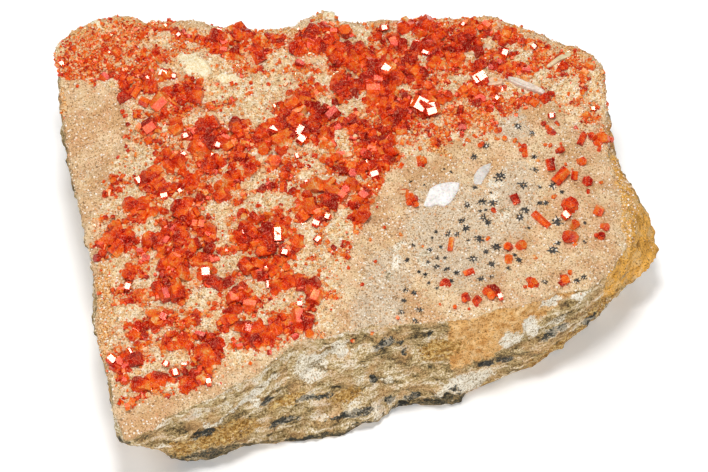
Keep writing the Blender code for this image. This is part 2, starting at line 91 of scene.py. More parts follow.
# Gaps in the crust, where the pale matrix shows.
GAPS = (
    (103, 27, 9, 6), (345, 22, 8, 5), (57, 48, 8, 10), (315, 30, 6, 6), (360, 33, 10, 5), (405, 37, 7, 4),
    (475, 34, 8, 4), (483, 47, 9, 3, 20), (525, 34, 10, 4), (115, 88, 6, 9), (163, 68, 6, 8),
    (196, 67, 20, 10, -25), (228, 80, 13, 5), (262, 86, 28, 11), (262, 66, 10, 4), (280, 62, 14, 9),
    (316, 80, 15, 7), (425, 62, 7, 6), (452, 84, 5, 8), (455, 86, 8, 9), (478, 80, 7, 4), (478, 82, 8, 5),
    (512, 88, 24, 3, -14), (520, 62, 7, 4), (525, 61, 7, 6), (543, 72, 7, 5), (545, 75, 7, 7),
    (550, 85, 4, 8), (560, 68, 8, 7), (562, 70, 8, 6), (592, 75, 5, 6), (118, 105, 5, 5), (128, 117, 5, 7),
    (140, 99, 16, 3), (205, 100, 7, 4), (214, 95, 13, 9), (228, 101, 7, 4), (232, 114, 12, 8, 30),
    (235, 96, 12, 5), (252, 108, 19, 9), (262, 118, 13, 6), (326, 104, 9, 7), (340, 112, 11, 7),
    (340, 118, 8, 7), (355, 110, 9, 5), (362, 98, 20, 4, 12), (450, 90, 9, 5), (530, 92, 14, 4),
    (568, 92, 14, 9), (600, 92, 10, 18), (602, 110, 7, 8), (140, 122, 8, 4), (150, 122, 8, 3),
    (165, 132, 6, 3), (190, 125, 10, 4), (267, 120, 7, 5), (293, 146, 6, 4), (340, 140, 8, 9),
    (342, 148, 8, 8), (455, 141, 6, 4), (472, 133, 8, 4), (500, 122, 6, 4), (115, 172, 12, 5),
    (122, 175, 10, 6), (135, 165, 26, 12), (148, 177, 9, 6), (148, 172, 17, 10), (169, 178, 12, 4, -60),
    (226, 168, 5, 6), (264, 156, 16, 6), (306, 175, 7, 6), (312, 162, 13, 8), (96, 195, 4, 8),
    (112, 204, 10, 4, 10), (128, 201, 16, 5), (132, 201, 14, 4), (133, 195, 15, 6, -5), (177, 203, 12, 4),
    (254, 182, 14, 9), (260, 200, 14, 5), (279, 202, 21, 8), (285, 208, 9, 4), (290, 188, 6, 7),
    (330, 182, 12, 5), (97, 215, 8, 4), (149, 230, 11, 8, 30), (150, 234, 12, 8, 20), (150, 236, 14, 6, 25),
    (159, 216, 5, 4), (205, 214, 5, 5), (222, 211, 19, 8), (223, 239, 9, 6), (240, 212, 10, 4),
    (250, 210, 12, 6), (253, 227, 10, 3), (308, 235, 9, 18), (338, 228, 14, 18), (345, 215, 12, 5),
    (352, 238, 5, 5), (365, 213, 4, 7), (92, 243, 5, 5), (103, 265, 6, 8), (112, 268, 12, 8),
    (115, 260, 15, 5), (139, 240, 3, 10), (158, 256, 12, 3, 5), (222, 243, 6, 4), (230, 266, 22, 6, 35),
    (235, 262, 16, 6, 30), (252, 258, 9, 3, 10), (282, 242, 5, 5), (300, 267, 20, 7), (303, 255, 7, 7),
    (325, 255, 6, 8), (100, 285, 6, 10), (112, 280, 9, 9), (148, 285, 7, 4), (155, 271, 7, 8, 30),
    (182, 292, 6, 4, 30), (188, 287, 14, 4, 40), (208, 277, 9, 5), (215, 278, 12, 6), (222, 272, 12, 5, 20),
    (258, 294, 5, 6), (262, 285, 8, 7), (292, 291, 14, 6, -10), (320, 275, 9, 5), (331, 288, 7, 7),
    (107, 300, 6, 12), (112, 322, 7, 5), (120, 315, 16, 8), (128, 306, 8, 6), (128, 322, 7, 4),
    (158, 303, 8, 4), (166, 303, 8, 4), (182, 318, 5, 3, 20), (204, 302, 18, 9, 20), (210, 325, 9, 7),
    (222, 316, 8, 6), (258, 324, 4, 7), (262, 315, 5, 6), (276, 307, 13, 5, 20), (305, 300, 5, 6),
    (326, 312, 11, 13), (327, 326, 6, 7), (108, 345, 6, 10), (154, 333, 5, 6), (175, 358, 18, 7),
    (226, 348, 5, 6), (229, 338, 9, 6), (238, 334, 12, 5), (250, 356, 5, 5), (250, 357, 6, 6),
    (268, 357, 9, 4), (282, 339, 6, 4), (295, 345, 14, 5, 20), (113, 360, 8, 5), (140, 376, 14, 5),
    (145, 370, 14, 6, -10), (150, 376, 14, 5), (160, 370, 12, 5), (172, 388, 12, 5), (180, 378, 8, 7),
    (181, 385, 7, 4), (240, 362, 17, 12), (130, 398, 9, 4), (190, 396, 12, 4),
)

# Masses of large, deep red crystals.
MASSES = (
    (448, 15, 14, 4), (78, 52, 12, 8), (110, 55, 12, 5), (205, 42, 6, 5), (222, 42, 9, 5), (232, 58, 8, 4),
    (240, 38, 12, 6), (252, 50, 14, 6), (260, 45, 10, 4), (275, 40, 12, 5), (300, 52, 9, 6),
    (310, 43, 12, 10), (335, 32, 10, 8), (342, 55, 13, 8), (352, 34, 7, 5), (375, 40, 6, 4), (400, 48, 8, 6),
    (420, 30, 16, 5), (430, 45, 12, 4), (468, 40, 10, 8), (470, 48, 12, 5), (490, 30, 14, 6),
    (510, 38, 16, 6), (545, 45, 12, 6), (560, 50, 6, 4), (585, 55, 7, 4), (588, 57, 6, 3), (60, 60, 7, 8),
    (120, 82, 12, 8), (148, 84, 10, 6), (262, 78, 5, 7), (285, 60, 12, 6), (345, 85, 12, 8), (360, 88, 14, 6),
    (365, 62, 12, 14), (379, 86, 6, 6), (385, 62, 10, 9), (395, 70, 6, 12), (408, 62, 10, 10),
    (415, 80, 9, 9), (425, 62, 9, 6), (435, 60, 10, 7), (450, 60, 12, 8), (470, 70, 10, 6), (492, 62, 10, 6),
    (502, 70, 12, 6), (520, 60, 12, 6), (520, 74, 10, 5), (520, 75, 12, 5), (575, 62, 9, 5), (582, 66, 9, 6),
    (583, 78, 6, 8), (605, 75, 5, 8), (133, 96, 10, 4), (150, 101, 14, 4), (165, 102, 8, 6), (182, 95, 19, 6),
    (300, 105, 12, 10), (320, 115, 9, 7), (345, 98, 10, 6), (380, 90, 10, 8), (398, 115, 16, 18),
    (427, 92, 8, 6), (445, 98, 14, 5), (470, 95, 12, 7), (480, 107, 12, 6), (537, 105, 10, 4),
    (537, 110, 7, 3), (545, 95, 6, 8), (581, 92, 6, 5), (150, 131, 14, 4), (172, 132, 9, 5),
    (205, 135, 14, 16), (228, 144, 12, 6), (240, 130, 10, 8), (255, 146, 14, 6), (285, 130, 22, 12),
    (286, 148, 8, 6), (300, 130, 9, 12), (302, 128, 7, 8), (320, 135, 12, 8), (330, 142, 12, 8),
    (345, 120, 12, 10), (370, 140, 20, 16), (512, 122, 6, 8), (606, 130, 5, 8), (165, 161, 14, 5, -20),
    (178, 165, 8, 9), (205, 165, 12, 8), (240, 160, 10, 8), (250, 173, 8, 7), (288, 175, 6, 9),
    (302, 172, 7, 6), (330, 160, 9, 6), (350, 172, 18, 6), (380, 167, 10, 4), (392, 165, 6, 8),
    (448, 155, 5, 7), (155, 188, 8, 12), (168, 197, 11, 4), (185, 191, 14, 5), (205, 195, 8, 8),
    (225, 200, 6, 5), (232, 185, 12, 8), (270, 196, 10, 4), (270, 195, 9, 5), (272, 191, 10, 8),
    (275, 195, 13, 5), (289, 186, 4, 6), (300, 205, 7, 12), (320, 187, 14, 7), (330, 205, 10, 8),
    (365, 205, 9, 11), (140, 212, 16, 8), (170, 232, 6, 6), (188, 215, 12, 14), (202, 232, 14, 7, -25),
    (252, 220, 14, 5), (280, 230, 8, 16), (302, 220, 9, 4), (317, 217, 7, 6), (328, 232, 8, 6),
    (330, 232, 7, 6), (332, 234, 8, 6), (350, 215, 6, 10), (362, 220, 6, 6), (100, 249, 7, 6),
    (120, 240, 14, 13), (150, 253, 12, 5), (155, 245, 14, 9), (185, 250, 12, 8), (203, 263, 10, 6),
    (207, 245, 5, 6), (222, 250, 8, 6), (250, 240, 16, 12), (262, 250, 14, 5), (292, 250, 12, 6),
    (350, 255, 7, 10), (350, 265, 5, 8), (364, 240, 4, 8), (132, 277, 10, 5), (168, 290, 12, 8),
    (172, 270, 13, 10), (220, 287, 9, 4), (265, 270, 25, 6), (278, 287, 5, 9), (285, 278, 18, 5),
    (305, 285, 14, 5, -40), (160, 320, 14, 5), (160, 318, 14, 6), (185, 300, 8, 6), (187, 325, 10, 5),
    (232, 325, 12, 8), (232, 317, 9, 7), (245, 300, 16, 10), (290, 325, 18, 8), (317, 302, 5, 10),
    (138, 335, 9, 10), (173, 350, 9, 5), (175, 350, 10, 4), (180, 340, 14, 8), (210, 355, 10, 14),
    (235, 346, 9, 7), (245, 332, 5, 8), (262, 340, 14, 9), (262, 351, 8, 3), (265, 353, 14, 5),
    (125, 365, 9, 10), (125, 376, 6, 6), (160, 385, 28, 6), (185, 380, 12, 10), (200, 388, 5, 6),
    (207, 370, 7, 9), (130, 403, 9, 7),
)

# Areas of fine druse, where no crystal is large.
FINE_AREAS = (
    (105, 32, 50, 18), (86, 64, 32, 17), (248, 67, 15, 9), (560, 62, 30, 14), (214, 95, 14, 9),
    (516, 112, 18, 9), (470, 121, 28, 9), (440, 152, 22, 8, 20),
)

# Spots that the iron stain turns orange.
ORANGE_STAINS = (
    (150, 22, 42, 7), (325, 18, 14, 5), (505, 24, 52, 8, -14), (100, 40, 46, 16), (255, 34, 60, 5),
    (575, 54, 20, 10, -30), (603, 84, 8, 18), (62, 105, 5, 22), (610, 135, 8, 18), (438, 150, 20, 5, -35),
    (405, 193, 4, 4), (415, 205, 4, 4), (105, 290, 9, 45), (104, 350, 8, 40),
)

# Outline of the ochre stain on the right rim.
OCHRE_OUTLINE = (
    (606, 148), (622, 165), (642, 195), (664, 225), (662, 268), (640, 292), (600, 300), (610, 272),
    (626, 248), (621, 226), (620, 199), (611, 165),
)

# Outline of the smooth golden slab on the right of the front.
SLAB_OUTLINE = (
    (448, 314), (500, 302), (560, 284), (580, 290), (548, 312), (518, 335), (498, 352), (470, 366),
    (450, 369),
)

# Lenses of charcoal grey in the broken front. The long thin ones along the lower edge are partly charcoal and
# partly painted shade.
CHARCOAL = (
    (590, 318, 10, 3, 35), (383, 344, 12, 4, 25), (400, 340, 3, 3), (405, 352, 3, 3), (430, 335, 3, 3),
    (506, 359, 9, 3, 15), (553, 333, 17, 4, 33), (373, 380, 6, 5, 30), (487, 364, 8, 3, 15),
    (266, 401, 8, 4, 35), (315, 397, 20, 3, 12), (350, 412, 26, 3, 20), (376, 417, 26, 5, 24),
    (390, 398, 5, 2), (395, 405, 20, 3, 20), (407, 408, 16, 2, 15), (412, 395, 11, 2, 15),
    # The lenses at (450, 402), (300, 440) and (375, 425) lie along the lower edge: partly charcoal, partly
    # painted shade.
    (450, 402, 30, 2, 14), (455, 390, 7, 2, 10), (203, 434, 13, 4, 20), (283, 422, 16, 4, 18),
    (300, 440, 30, 2, 12), (375, 425, 30, 3, 20),
)

# White patches, most of them on the broken front.
WHITE_PATCHES = (
    (494, 200, 6, 8), (495, 185, 9, 5), (504, 215, 7, 6), (396, 262, 4, 9), (398, 248, 9, 3, 30),
    (421, 262, 3, 9, 60), (426, 255, 3, 6, 60), (389, 277, 5, 5), (578, 297, 8, 4), (387, 300, 3, 3),
    (393, 313, 3, 3), (531, 327, 7, 11), (552, 303, 12, 4, 25), (557, 320, 11, 3, 30), (330, 352, 24, 3, 30),
    (340, 350, 7, 9, 30), (511, 340, 13, 8, 10), (311, 368, 17, 13, 30), (388, 380, 6, 4),
    (465, 383, 28, 8, 20), (245, 400, 44, 3, 38), (255, 402, 5, 5), (440, 395, 6, 4, 20), (207, 425, 5, 4),
)

# Golden brown patches on the broken front.
GOLD_PATCHES = (
    (625, 292, 16, 9, 48), (602, 312, 22, 10, 42), (440, 350, 22, 10, 10), (560, 352, 48, 9, 33),
    (500, 385, 36, 7, 17), (290, 400, 22, 5, 20), (345, 395, 18, 6, 15), (222, 434, 40, 10, 16),
    (180, 450, 12, 9, 20), (250, 452, 40, 5, 12),
)

# The line where the front ends below, as (column, row): the rock is painted darker along it, partly dirt and
# partly painted shade where it turns under towards the floor.
LOWER_EDGE = (
    (118, 444), (140, 462), (186, 462), (240, 452), (300, 445), (345, 437), (380, 421), (420, 408),
    (470, 399), (520, 383), (560, 361), (600, 333), (640, 303), (662, 270),
)

# Bulges in the broken front and the rim.
SWELLINGS = ((380, 412, 26, 11), (470, 404, 20, 6), (650, 262, 14, 16))

# Lumps of pale yellow on the skin, free of crystals.
PALE_YELLOW = ((196, 67, 19, 9, -25), (228, 80, 12, 5), (97, 28, 7, 5), (333, 16, 10, 4))

# Areas of greyer skin. The first two are painted shade: a slope that faces away from the light, and the foot
# of a small step under a ledge.
GREY_AND_SHADED_SKIN = (
    (455, 235, 55, 60, 30), (510, 125, 18, 22, 60), (378, 315, 30, 32), (388, 275, 28, 26),
    (515, 200, 26, 42),
)

# The columns between which the large crystals give out towards the right.
LARGE_FADE = (450, 490)

# Black sprays: column, row, radius in millimetres.
SPRAYS = (
    (500, 177, 1.6), (523, 185, 1.1), (475, 188, 0.7), (535, 170, 0.9), (534, 157, 0.8), (532, 133, 0.8),
    (518, 126, 0.9), (486, 146, 0.8), (474, 157, 0.9), (482, 202, 1.0), (493, 203, 1.1), (540, 203, 0.7),
    (546, 203, 0.7), (540, 187, 0.5), (553, 186, 1.0), (484, 218, 0.9), (488, 222, 0.9), (462, 221, 0.8),
    (466, 228, 1.0), (525, 210, 1.0), (520, 217, 1.0), (557, 222, 1.2), (585, 223, 0.5), (448, 234, 0.8),
    (457, 234, 0.8), (480, 239, 1.1), (496, 247, 1.2), (486, 252, 0.7), (473, 259, 1.1), (492, 264, 0.9),
    (519, 260, 0.8), (515, 255, 0.5), (509, 268, 0.7), (481, 279, 0.8), (492, 277, 0.6), (447, 269, 0.8),
    (437, 267, 0.9), (437, 258, 0.5), (441, 247, 0.6), (430, 250, 0.7), (457, 273, 0.8), (425, 275, 0.7),
    (451, 281, 0.7), (437, 288, 0.5), (414, 293, 0.8), (406, 290, 0.7), (404, 301, 0.8), (402, 312, 0.7),
    (419, 310, 0.9), (415, 321, 0.7), (407, 260, 0.7), (413, 245, 0.5), (419, 272, 0.5), (429, 283, 0.6),
    (553, 250, 1.3), (558, 243, 0.7), (585, 242, 0.6), (545, 282, 0.7), (577, 281, 0.8), (584, 277, 0.7),
    (467, 205, 0.8), (411, 182, 0.4), (424, 185, 0.3), (444, 169, 0.3), (451, 172, 0.4), (529, 228, 0.4),
    (562, 192, 0.6), (480, 211, 0.5), (486, 210, 0.5), (491, 193, 0.4), (436, 232, 0.5), (428, 262, 0.5),
    (445, 258, 0.5), (432, 238, 0.4), (468, 240, 0.5),
)

# Small crystals that stand alone on the bare matrix: column, row, width in millimetres, tone from 0 to 1.
LONE_CRYSTALS = (
    (538, 161, 0.7, 0.8), (553, 160, 0.6, 0.7), (545, 145, 0.7, 0.8), (550, 146, 0.7, 0.6),
    (561, 145, 0.6, 0.8), (494, 211, 0.9, 0.7), (464, 301, 1.1, 0.8), (476, 304, 1.0, 0.6),
    (455, 308, 0.8, 0.9), (525, 287, 0.7, 0.8), (534, 284, 1.0, 0.7), (535, 258, 0.8, 1.0),
    (588, 192, 0.7, 0.7), (554, 197, 0.8, 0.9), (604, 228, 0.8, 0.5), (599, 150, 0.8, 0.5),
    (592, 138, 1.4, 0.5), (600, 137, 1.2, 0.4), (608, 139, 1.1, 0.4), (498, 131, 1.0, 0.7),
    (505, 139, 1.0, 0.6), (481, 145, 1.0, 0.7), (497, 139, 0.6, 0.8), (462, 136, 0.9, 0.5),
    (468, 141, 0.8, 0.7), (519, 145, 0.8, 0.7), (522, 150, 0.8, 0.7), (525, 156, 0.8, 0.7),
    (515, 141, 0.7, 0.8), (566, 165, 0.6, 0.8), (572, 170, 0.5, 0.6), (547, 128, 0.9, 0.5),
    (543, 124, 0.9, 0.5), (557, 124, 0.7, 0.7), (576, 128, 0.7, 0.7), (405, 193, 1.1, 0.8),
    (415, 205, 1.1, 0.9), (410, 199, 0.7, 0.9), (488, 239, 0.7, 0.9), (401, 235, 0.6, 0.9),
    (423, 247, 0.5, 0.9), (575, 245, 0.7, 0.6), (601, 183, 0.6, 0.7), (597, 236, 0.9, 0.3),
    (570, 273, 0.9, 0.4), (515, 204, 0.7, 0.7), (469, 309, 0.5, 0.9), (440, 305, 0.5, 0.8),
    (398, 318, 0.7, 0.7), (372, 333, 0.6, 0.8), (352, 340, 0.7, 0.7), (375, 262, 0.6, 0.9),
    (362, 285, 0.7, 0.8), (370, 240, 0.6, 0.9), (384, 228, 0.6, 0.8),
)

# Crystals with a face that catches the main light: column, row, width and length in millimetres. A length of
# 0 is left to chance.
BRIGHT_FACES = (
    (421, 109, 2.4, 3.0), (432, 113, 2.1, 2.7), (413, 105, 1.2, 0), (479, 81, 2.0, 0), (386, 73, 1.8, 0),
    (278, 238, 1.5, 3.1), (206, 274, 1.8, 0), (129, 290, 1.4, 0), (113, 360, 1.3, 0), (163, 77, 1.3, 0),
    (384, 30, 1.2, 0), (551, 117, 0.9, 0), (566, 217, 1.1, 0), (374, 177, 1.2, 0), (340, 196, 0.8, 1.5),
    (274, 133, 1.3, 0), (302, 141, 1.4, 0), (218, 147, 1.0, 0), (212, 158, 0.6, 1.1), (297, 157, 0.6, 1.1),
    (140, 182, 1.0, 0), (180, 193, 0.8, 0), (185, 138, 1.0, 0), (316, 225, 1.0, 0), (327, 219, 1.0, 0),
    (318, 241, 0.9, 0), (300, 306, 1.0, 0), (264, 270, 0.5, 2.4), (268, 286, 0.5, 1.6), (130, 351, 0.5, 1.3),
    (166, 364, 0.9, 0), (175, 373, 1.0, 0), (209, 384, 1.2, 0), (417, 44, 0.7, 1.1), (441, 37, 0.6, 1.1),
    (425, 55, 0.7, 1.4), (463, 26, 0.6, 0), (497, 100, 0.9, 0), (505, 55, 1.3, 0), (534, 48, 0.8, 0),
    (63, 65, 1.0, 0), (174, 78, 0.8, 0), (178, 37, 0.8, 0), (148, 79, 0.5, 0.9), (219, 33, 0.9, 0),
    (593, 110, 0.8, 0), (500, 298, 1.0, 0), (494, 290, 0.9, 0),
)

# The crystals with a bright face are this share of the sizes above. One that is longer than LONGEST_TURNED,
# in millimetres before that, is turned by UPRIGHT_SPIN, in radians, so that it points away from the viewer.
BRIGHT_SHARE = 0.8
LONGEST_TURNED = 3.0
UPRIGHT_SPIN = 1.6

# Plates of another mineral on the skin: name, thickness in millimetres, colour, outline.
PLATES = (
    ("white_plate", 0.6, "#F6F1EC", ((430, 190), (436, 186), (444, 184), (452, 183), (459, 184), (458, 190),
                                     (455, 196), (450, 203), (444, 207), (437, 205), (430, 207), (424, 206),
                                     (426, 200), (428, 195))),
    ("grey_plate", 0.4, "#DDD4CB", ((474, 184), (474, 176), (478, 170), (484, 166), (491, 164), (489, 172),
                                    (485, 178), (481, 185))),
    ("pale_blade", 0.9, "#E8D6C4", ((508, 78), (518, 80), (530, 85), (545, 92), (545, 97), (532, 92),
                                    (518, 87), (509, 82))),
    ("tan_chip", 0.6, "#EBC7A4", ((484, 82), (492, 78), (503, 80), (502, 85), (492, 87), (485, 86))),
    ("tan_sliver", 0.4, "#DEBE98", ((466, 53), (476, 48), (488, 44), (492, 48), (486, 53), (474, 55))),
    ("cream_ledge", 0.5, "#E4CFA4", ((546, 67), (556, 59), (566, 53), (573, 52), (570, 57), (560, 62),
                                     (550, 68))),
)


# ---------------------------------------------------------------------------------------------------
# Settings
# ---------------------------------------------------------------------------------------------------


def linear(text):
    """A colour from its sRGB hex value, as linear red, green, blue and alpha."""
    parts = [int(text[place:place + 2], 16) / 255.0 for place in (1, 3, 5)]
    return (*(c / 12.92 if c <= 0.04045 else ((c + 0.055) / 1.055) ** 2.4 for c in parts), 1.0)


def colour_property(name, text, description):
    """A colour setting, from its sRGB hex value."""
    return FloatVectorProperty(
        name=name, description=description, subtype="COLOR", size=4, min=0.0, max=1.0, default=linear(text)
    )


def length_property(name, millimetres, description):
    """A length setting, given in millimetres and kept in metres."""
    return FloatProperty(
        name=name, description=description, default=millimetres * MM, unit="LENGTH", precision=5
    )


class RockSettings(bpy.types.PropertyGroup):
    voxel: length_property("Surface detail", 0.53, "Spacing of the rock's fine mesh")
    rise: length_property("Skin", 0.35, "How far the skin rises round the feet of the crystals")
    foliation: FloatProperty(
        name="Foliation", description="Angle of the layers in the broken front", subtype="ANGLE",
        default=math.radians(33.0),
    )
    cream: colour_property("Cream", "#F0D6AE", "The pale skin of the upper face")
    tan: colour_property("Tan", "#DAB080", "The weathered skin")
    olive: colour_property("Olive", "#B59C68", "The broken layers of the front")
    ochre: colour_property("Ochre", "#FABC54", "The iron stain of the right rim")
    white: colour_property("White", "#FBF5E6", "Calcite between the layers")
    charcoal: colour_property("Charcoal", "#363732", "Manganese oxide in the layers")


class CrustSettings(bpy.types.PropertyGroup):
    largest: length_property("Large crystals", 3.0, "Width of the largest crystals of the crust")
    smallest: length_property("Small crystals", 0.25, "Width of the smallest crystals of the crust")
    seed: IntProperty(name="Seed", description="Changes where the crystals of the crust grow", default=4)
    deep: colour_property("Deep red", "#960A00", "Thick crystals")
    bright: colour_property("Orange red", "#F84C04", "Most crystals")
    amber: colour_property("Amber", "#FCAC48", "Thin crystals")


class StageSettings(bpy.types.PropertyGroup):
    lens: FloatProperty(name="Lens", description="Focal length in millimetres", default=400.0)
    key: FloatProperty(name="Key light", description="Radiance of the small overhead light", default=47.5)
    fill: FloatProperty(name="Fill light", description="Radiance of the larger, dimmer lights", default=4.6)
    sky: FloatProperty(name="Surround", description="Brightness of the pale surround", default=0.17)


# ---------------------------------------------------------------------------------------------------
# Helpers
# ---------------------------------------------------------------------------------------------------


def add_node(tree, kind, inputs=None, stops=(), **settings):
    """Adds a node, sets it, fills its inputs with values or links, and gives a colour ramp its stops.

    A stop is a place on the ramp with a colour, which is an sRGB hex value or is already linear.
    """
    made = tree.nodes.new(kind)
    for name, value in settings.items():
        setattr(made, name, value)
    for key, value in (inputs or {}).items():
        if isinstance(value, bpy.types.NodeSocket):
            tree.links.new(value, made.inputs[key])
        else:
            made.inputs[key].default_value = value
    if stops:
        elements = made.color_ramp.elements
        elements.remove(elements[1])
        elements[0].position = stops[0][0]
        for place, _ in stops[1:]:
            elements.new(place)
        for element, (_, colour) in zip(elements, stops):
            element.color = linear(colour) if isinstance(colour, str) else colour
    return made


def smooth_step(low, high, value):
    """0 up to low and 1 from high on, with a smooth rise between them."""
    value = np.clip((value - low) / (high - low), 0.0, 1.0)
    return value * value * (3.0 - 2.0 * value)


def sight_places(points):
    """Each point's column and row on the sight grid."""
    offset = points / MM - np.array(VIEWER)
    scale = VIEW_DISTANCE / (offset @ np.array(SIGHT_AWAY)) / GRID_STEP
    return GRID_CENTRE[0] + offset[:, 0] * scale, GRID_CENTRE[1] - offset @ np.array(SIGHT_UP) * scale


def seat(tree, column, row):
    """Where the line of sight through a place of the grid meets the rock, and which way the rock faces."""
    across = (column - GRID_CENTRE[0]) * GRID_STEP
    up = (GRID_CENTRE[1] - row) * GRID_STEP
    through = SIGHT_TARGET + Vector((across, 0.0, 0.0)) + SIGHT_UP * up
    place = tree.ray_cast(VIEWER * MM, (through - VIEWER).normalized())[0]
    if place is None:
        raise ValueError(f"no rock at column {column}, row {row}")
    facing = Vector()
    for _, normal, _, _ in tree.find_nearest_range(place, 1.2 * MM):
        facing += normal
    return place, facing.normalized()


def patch_weight(column, row, patches, edge=0.35):
    """1 inside any of the sloping ellipses, falling to 0 just outside them."""
    weight = np.zeros(len(column))
    for centre_column, centre_row, half_width, half_height, *slope in patches:
        angle = math.radians(slope[0]) if slope else 0.0
        across, up = column - centre_column, centre_row - row
        run = across * math.cos(angle) + up * math.sin(angle)
        rise = up * math.cos(angle) - across * math.sin(angle)
        away = np.hypot(run / half_width, rise / half_height)
        weight = np.maximum(weight, 1.0 - smooth_step(1.0 - edge, 1.0 + edge, away))
    return weight


def line_distance(column, row, start, end):
    """How far each place is from a line between two places, in grid steps."""
    run, drop = end[0] - start[0], end[1] - start[1]
    share = ((column - start[0]) * run + (row - start[1]) * drop) / (run * run + drop * drop)
    share = np.clip(share, 0.0, 1.0)
    return np.hypot(column - start[0] - share * run, row - start[1] - share * drop)


def outline_weight(column, row, outline, edge):
    """1 inside a closed outline, 0 outside it, with a soft edge."""
    inside = np.zeros(len(column), bool)
    nearest = np.full(len(column), 1e9)
    for start, end in zip(outline, outline[1:] + outline[:1]):
        crosses = (start[1] > row) != (end[1] > row)
        height = end[1] - start[1] or 1e-9
        inside ^= crosses & (column < (end[0] - start[0]) * (row - start[1]) / height + start[0])
        nearest = np.minimum(nearest, line_distance(column, row, start, end))
    return smooth_step(-edge, edge, np.where(inside, nearest, -nearest))


def noise_field(points, size, seed=0.0):
    """Smooth noise between about -1 and 1 at each row of points; size is one length or one for each axis."""
    scaled = points / np.array(size) + np.array((seed, seed * 0.7, -seed))
    return np.array([noise.noise(place) for place in scaled])


def mesh_points(mesh):
    """The place of each vertex, in metres, one row each."""
    points = np.empty(len(mesh.vertices) * 3)
    mesh.vertices.foreach_get("co", points)
    return points.reshape(-1, 3)


def mesh_normals(mesh):
    """The normal of each vertex, one row each."""
    normals = np.empty(len(mesh.vertices) * 3)
    mesh.vertex_normals.foreach_get("vector", normals)
    return normals.reshape(-1, 3)


def set_attribute(mesh, name, values, kind="FLOAT"):
    """Stores a value for each vertex under a name."""
    layer = mesh.attributes.new(name, kind, "POINT")
    field = "vector" if kind == "FLOAT_VECTOR" else "value"
    layer.data.foreach_set(field, np.asarray(values, np.float32).ravel())


def add_object(name, mesh):
    """A new object of a mesh, in the scene."""
    item = bpy.data.objects.new(name, mesh)
    bpy.context.scene.collection.objects.link(item)
    return item


def applied(item, name):
    """A plain mesh of the evaluated object, in a new object; the old object is removed."""
    graph = bpy.context.evaluated_depsgraph_get()
    graph.update()
    mesh = bpy.data.meshes.new_from_object(item.evaluated_get(graph))
    bpy.data.objects.remove(item, do_unlink=True)
    return add_object(name, mesh)


def finish_piece(item, slot, look, *replaced):
    """Gives a finished piece its material and its body, and hides the parts that it replaces; the slot is not
    used.
    """
    item.data.materials.clear()
    item.data.materials.append(look)
    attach(item, "root")
    if replaced:
        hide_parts(*replaced)


def new_material(name):
    """A new material, with its node tree and its Principled BSDF."""
    look = bpy.data.materials.new(name)
    look.use_nodes = True
    tree = look.node_tree
    return look, tree, tree.nodes["Principled BSDF"]


def speckles(tree, place, table):
    """Noise for each row of a table: name, size of its features in mm, detail, roughness and distortion."""
    made = {}
    for name, size, detail, roughness, distortion in table:
        made[name] = add_node(
            tree, "ShaderNodeTexNoise",
            {"Vector": place, "Scale": 1.0 / (size * MM), "Detail": detail, "Roughness": roughness,
             "Distortion": distortion},
        ).outputs["Fac"]
    return made


def grey(value):
    """A linear grey of a given level."""
    return (value, value, value, 1.0)


# ---------------------------------------------------------------------------------------------------
# Materials
# ---------------------------------------------------------------------------------------------------


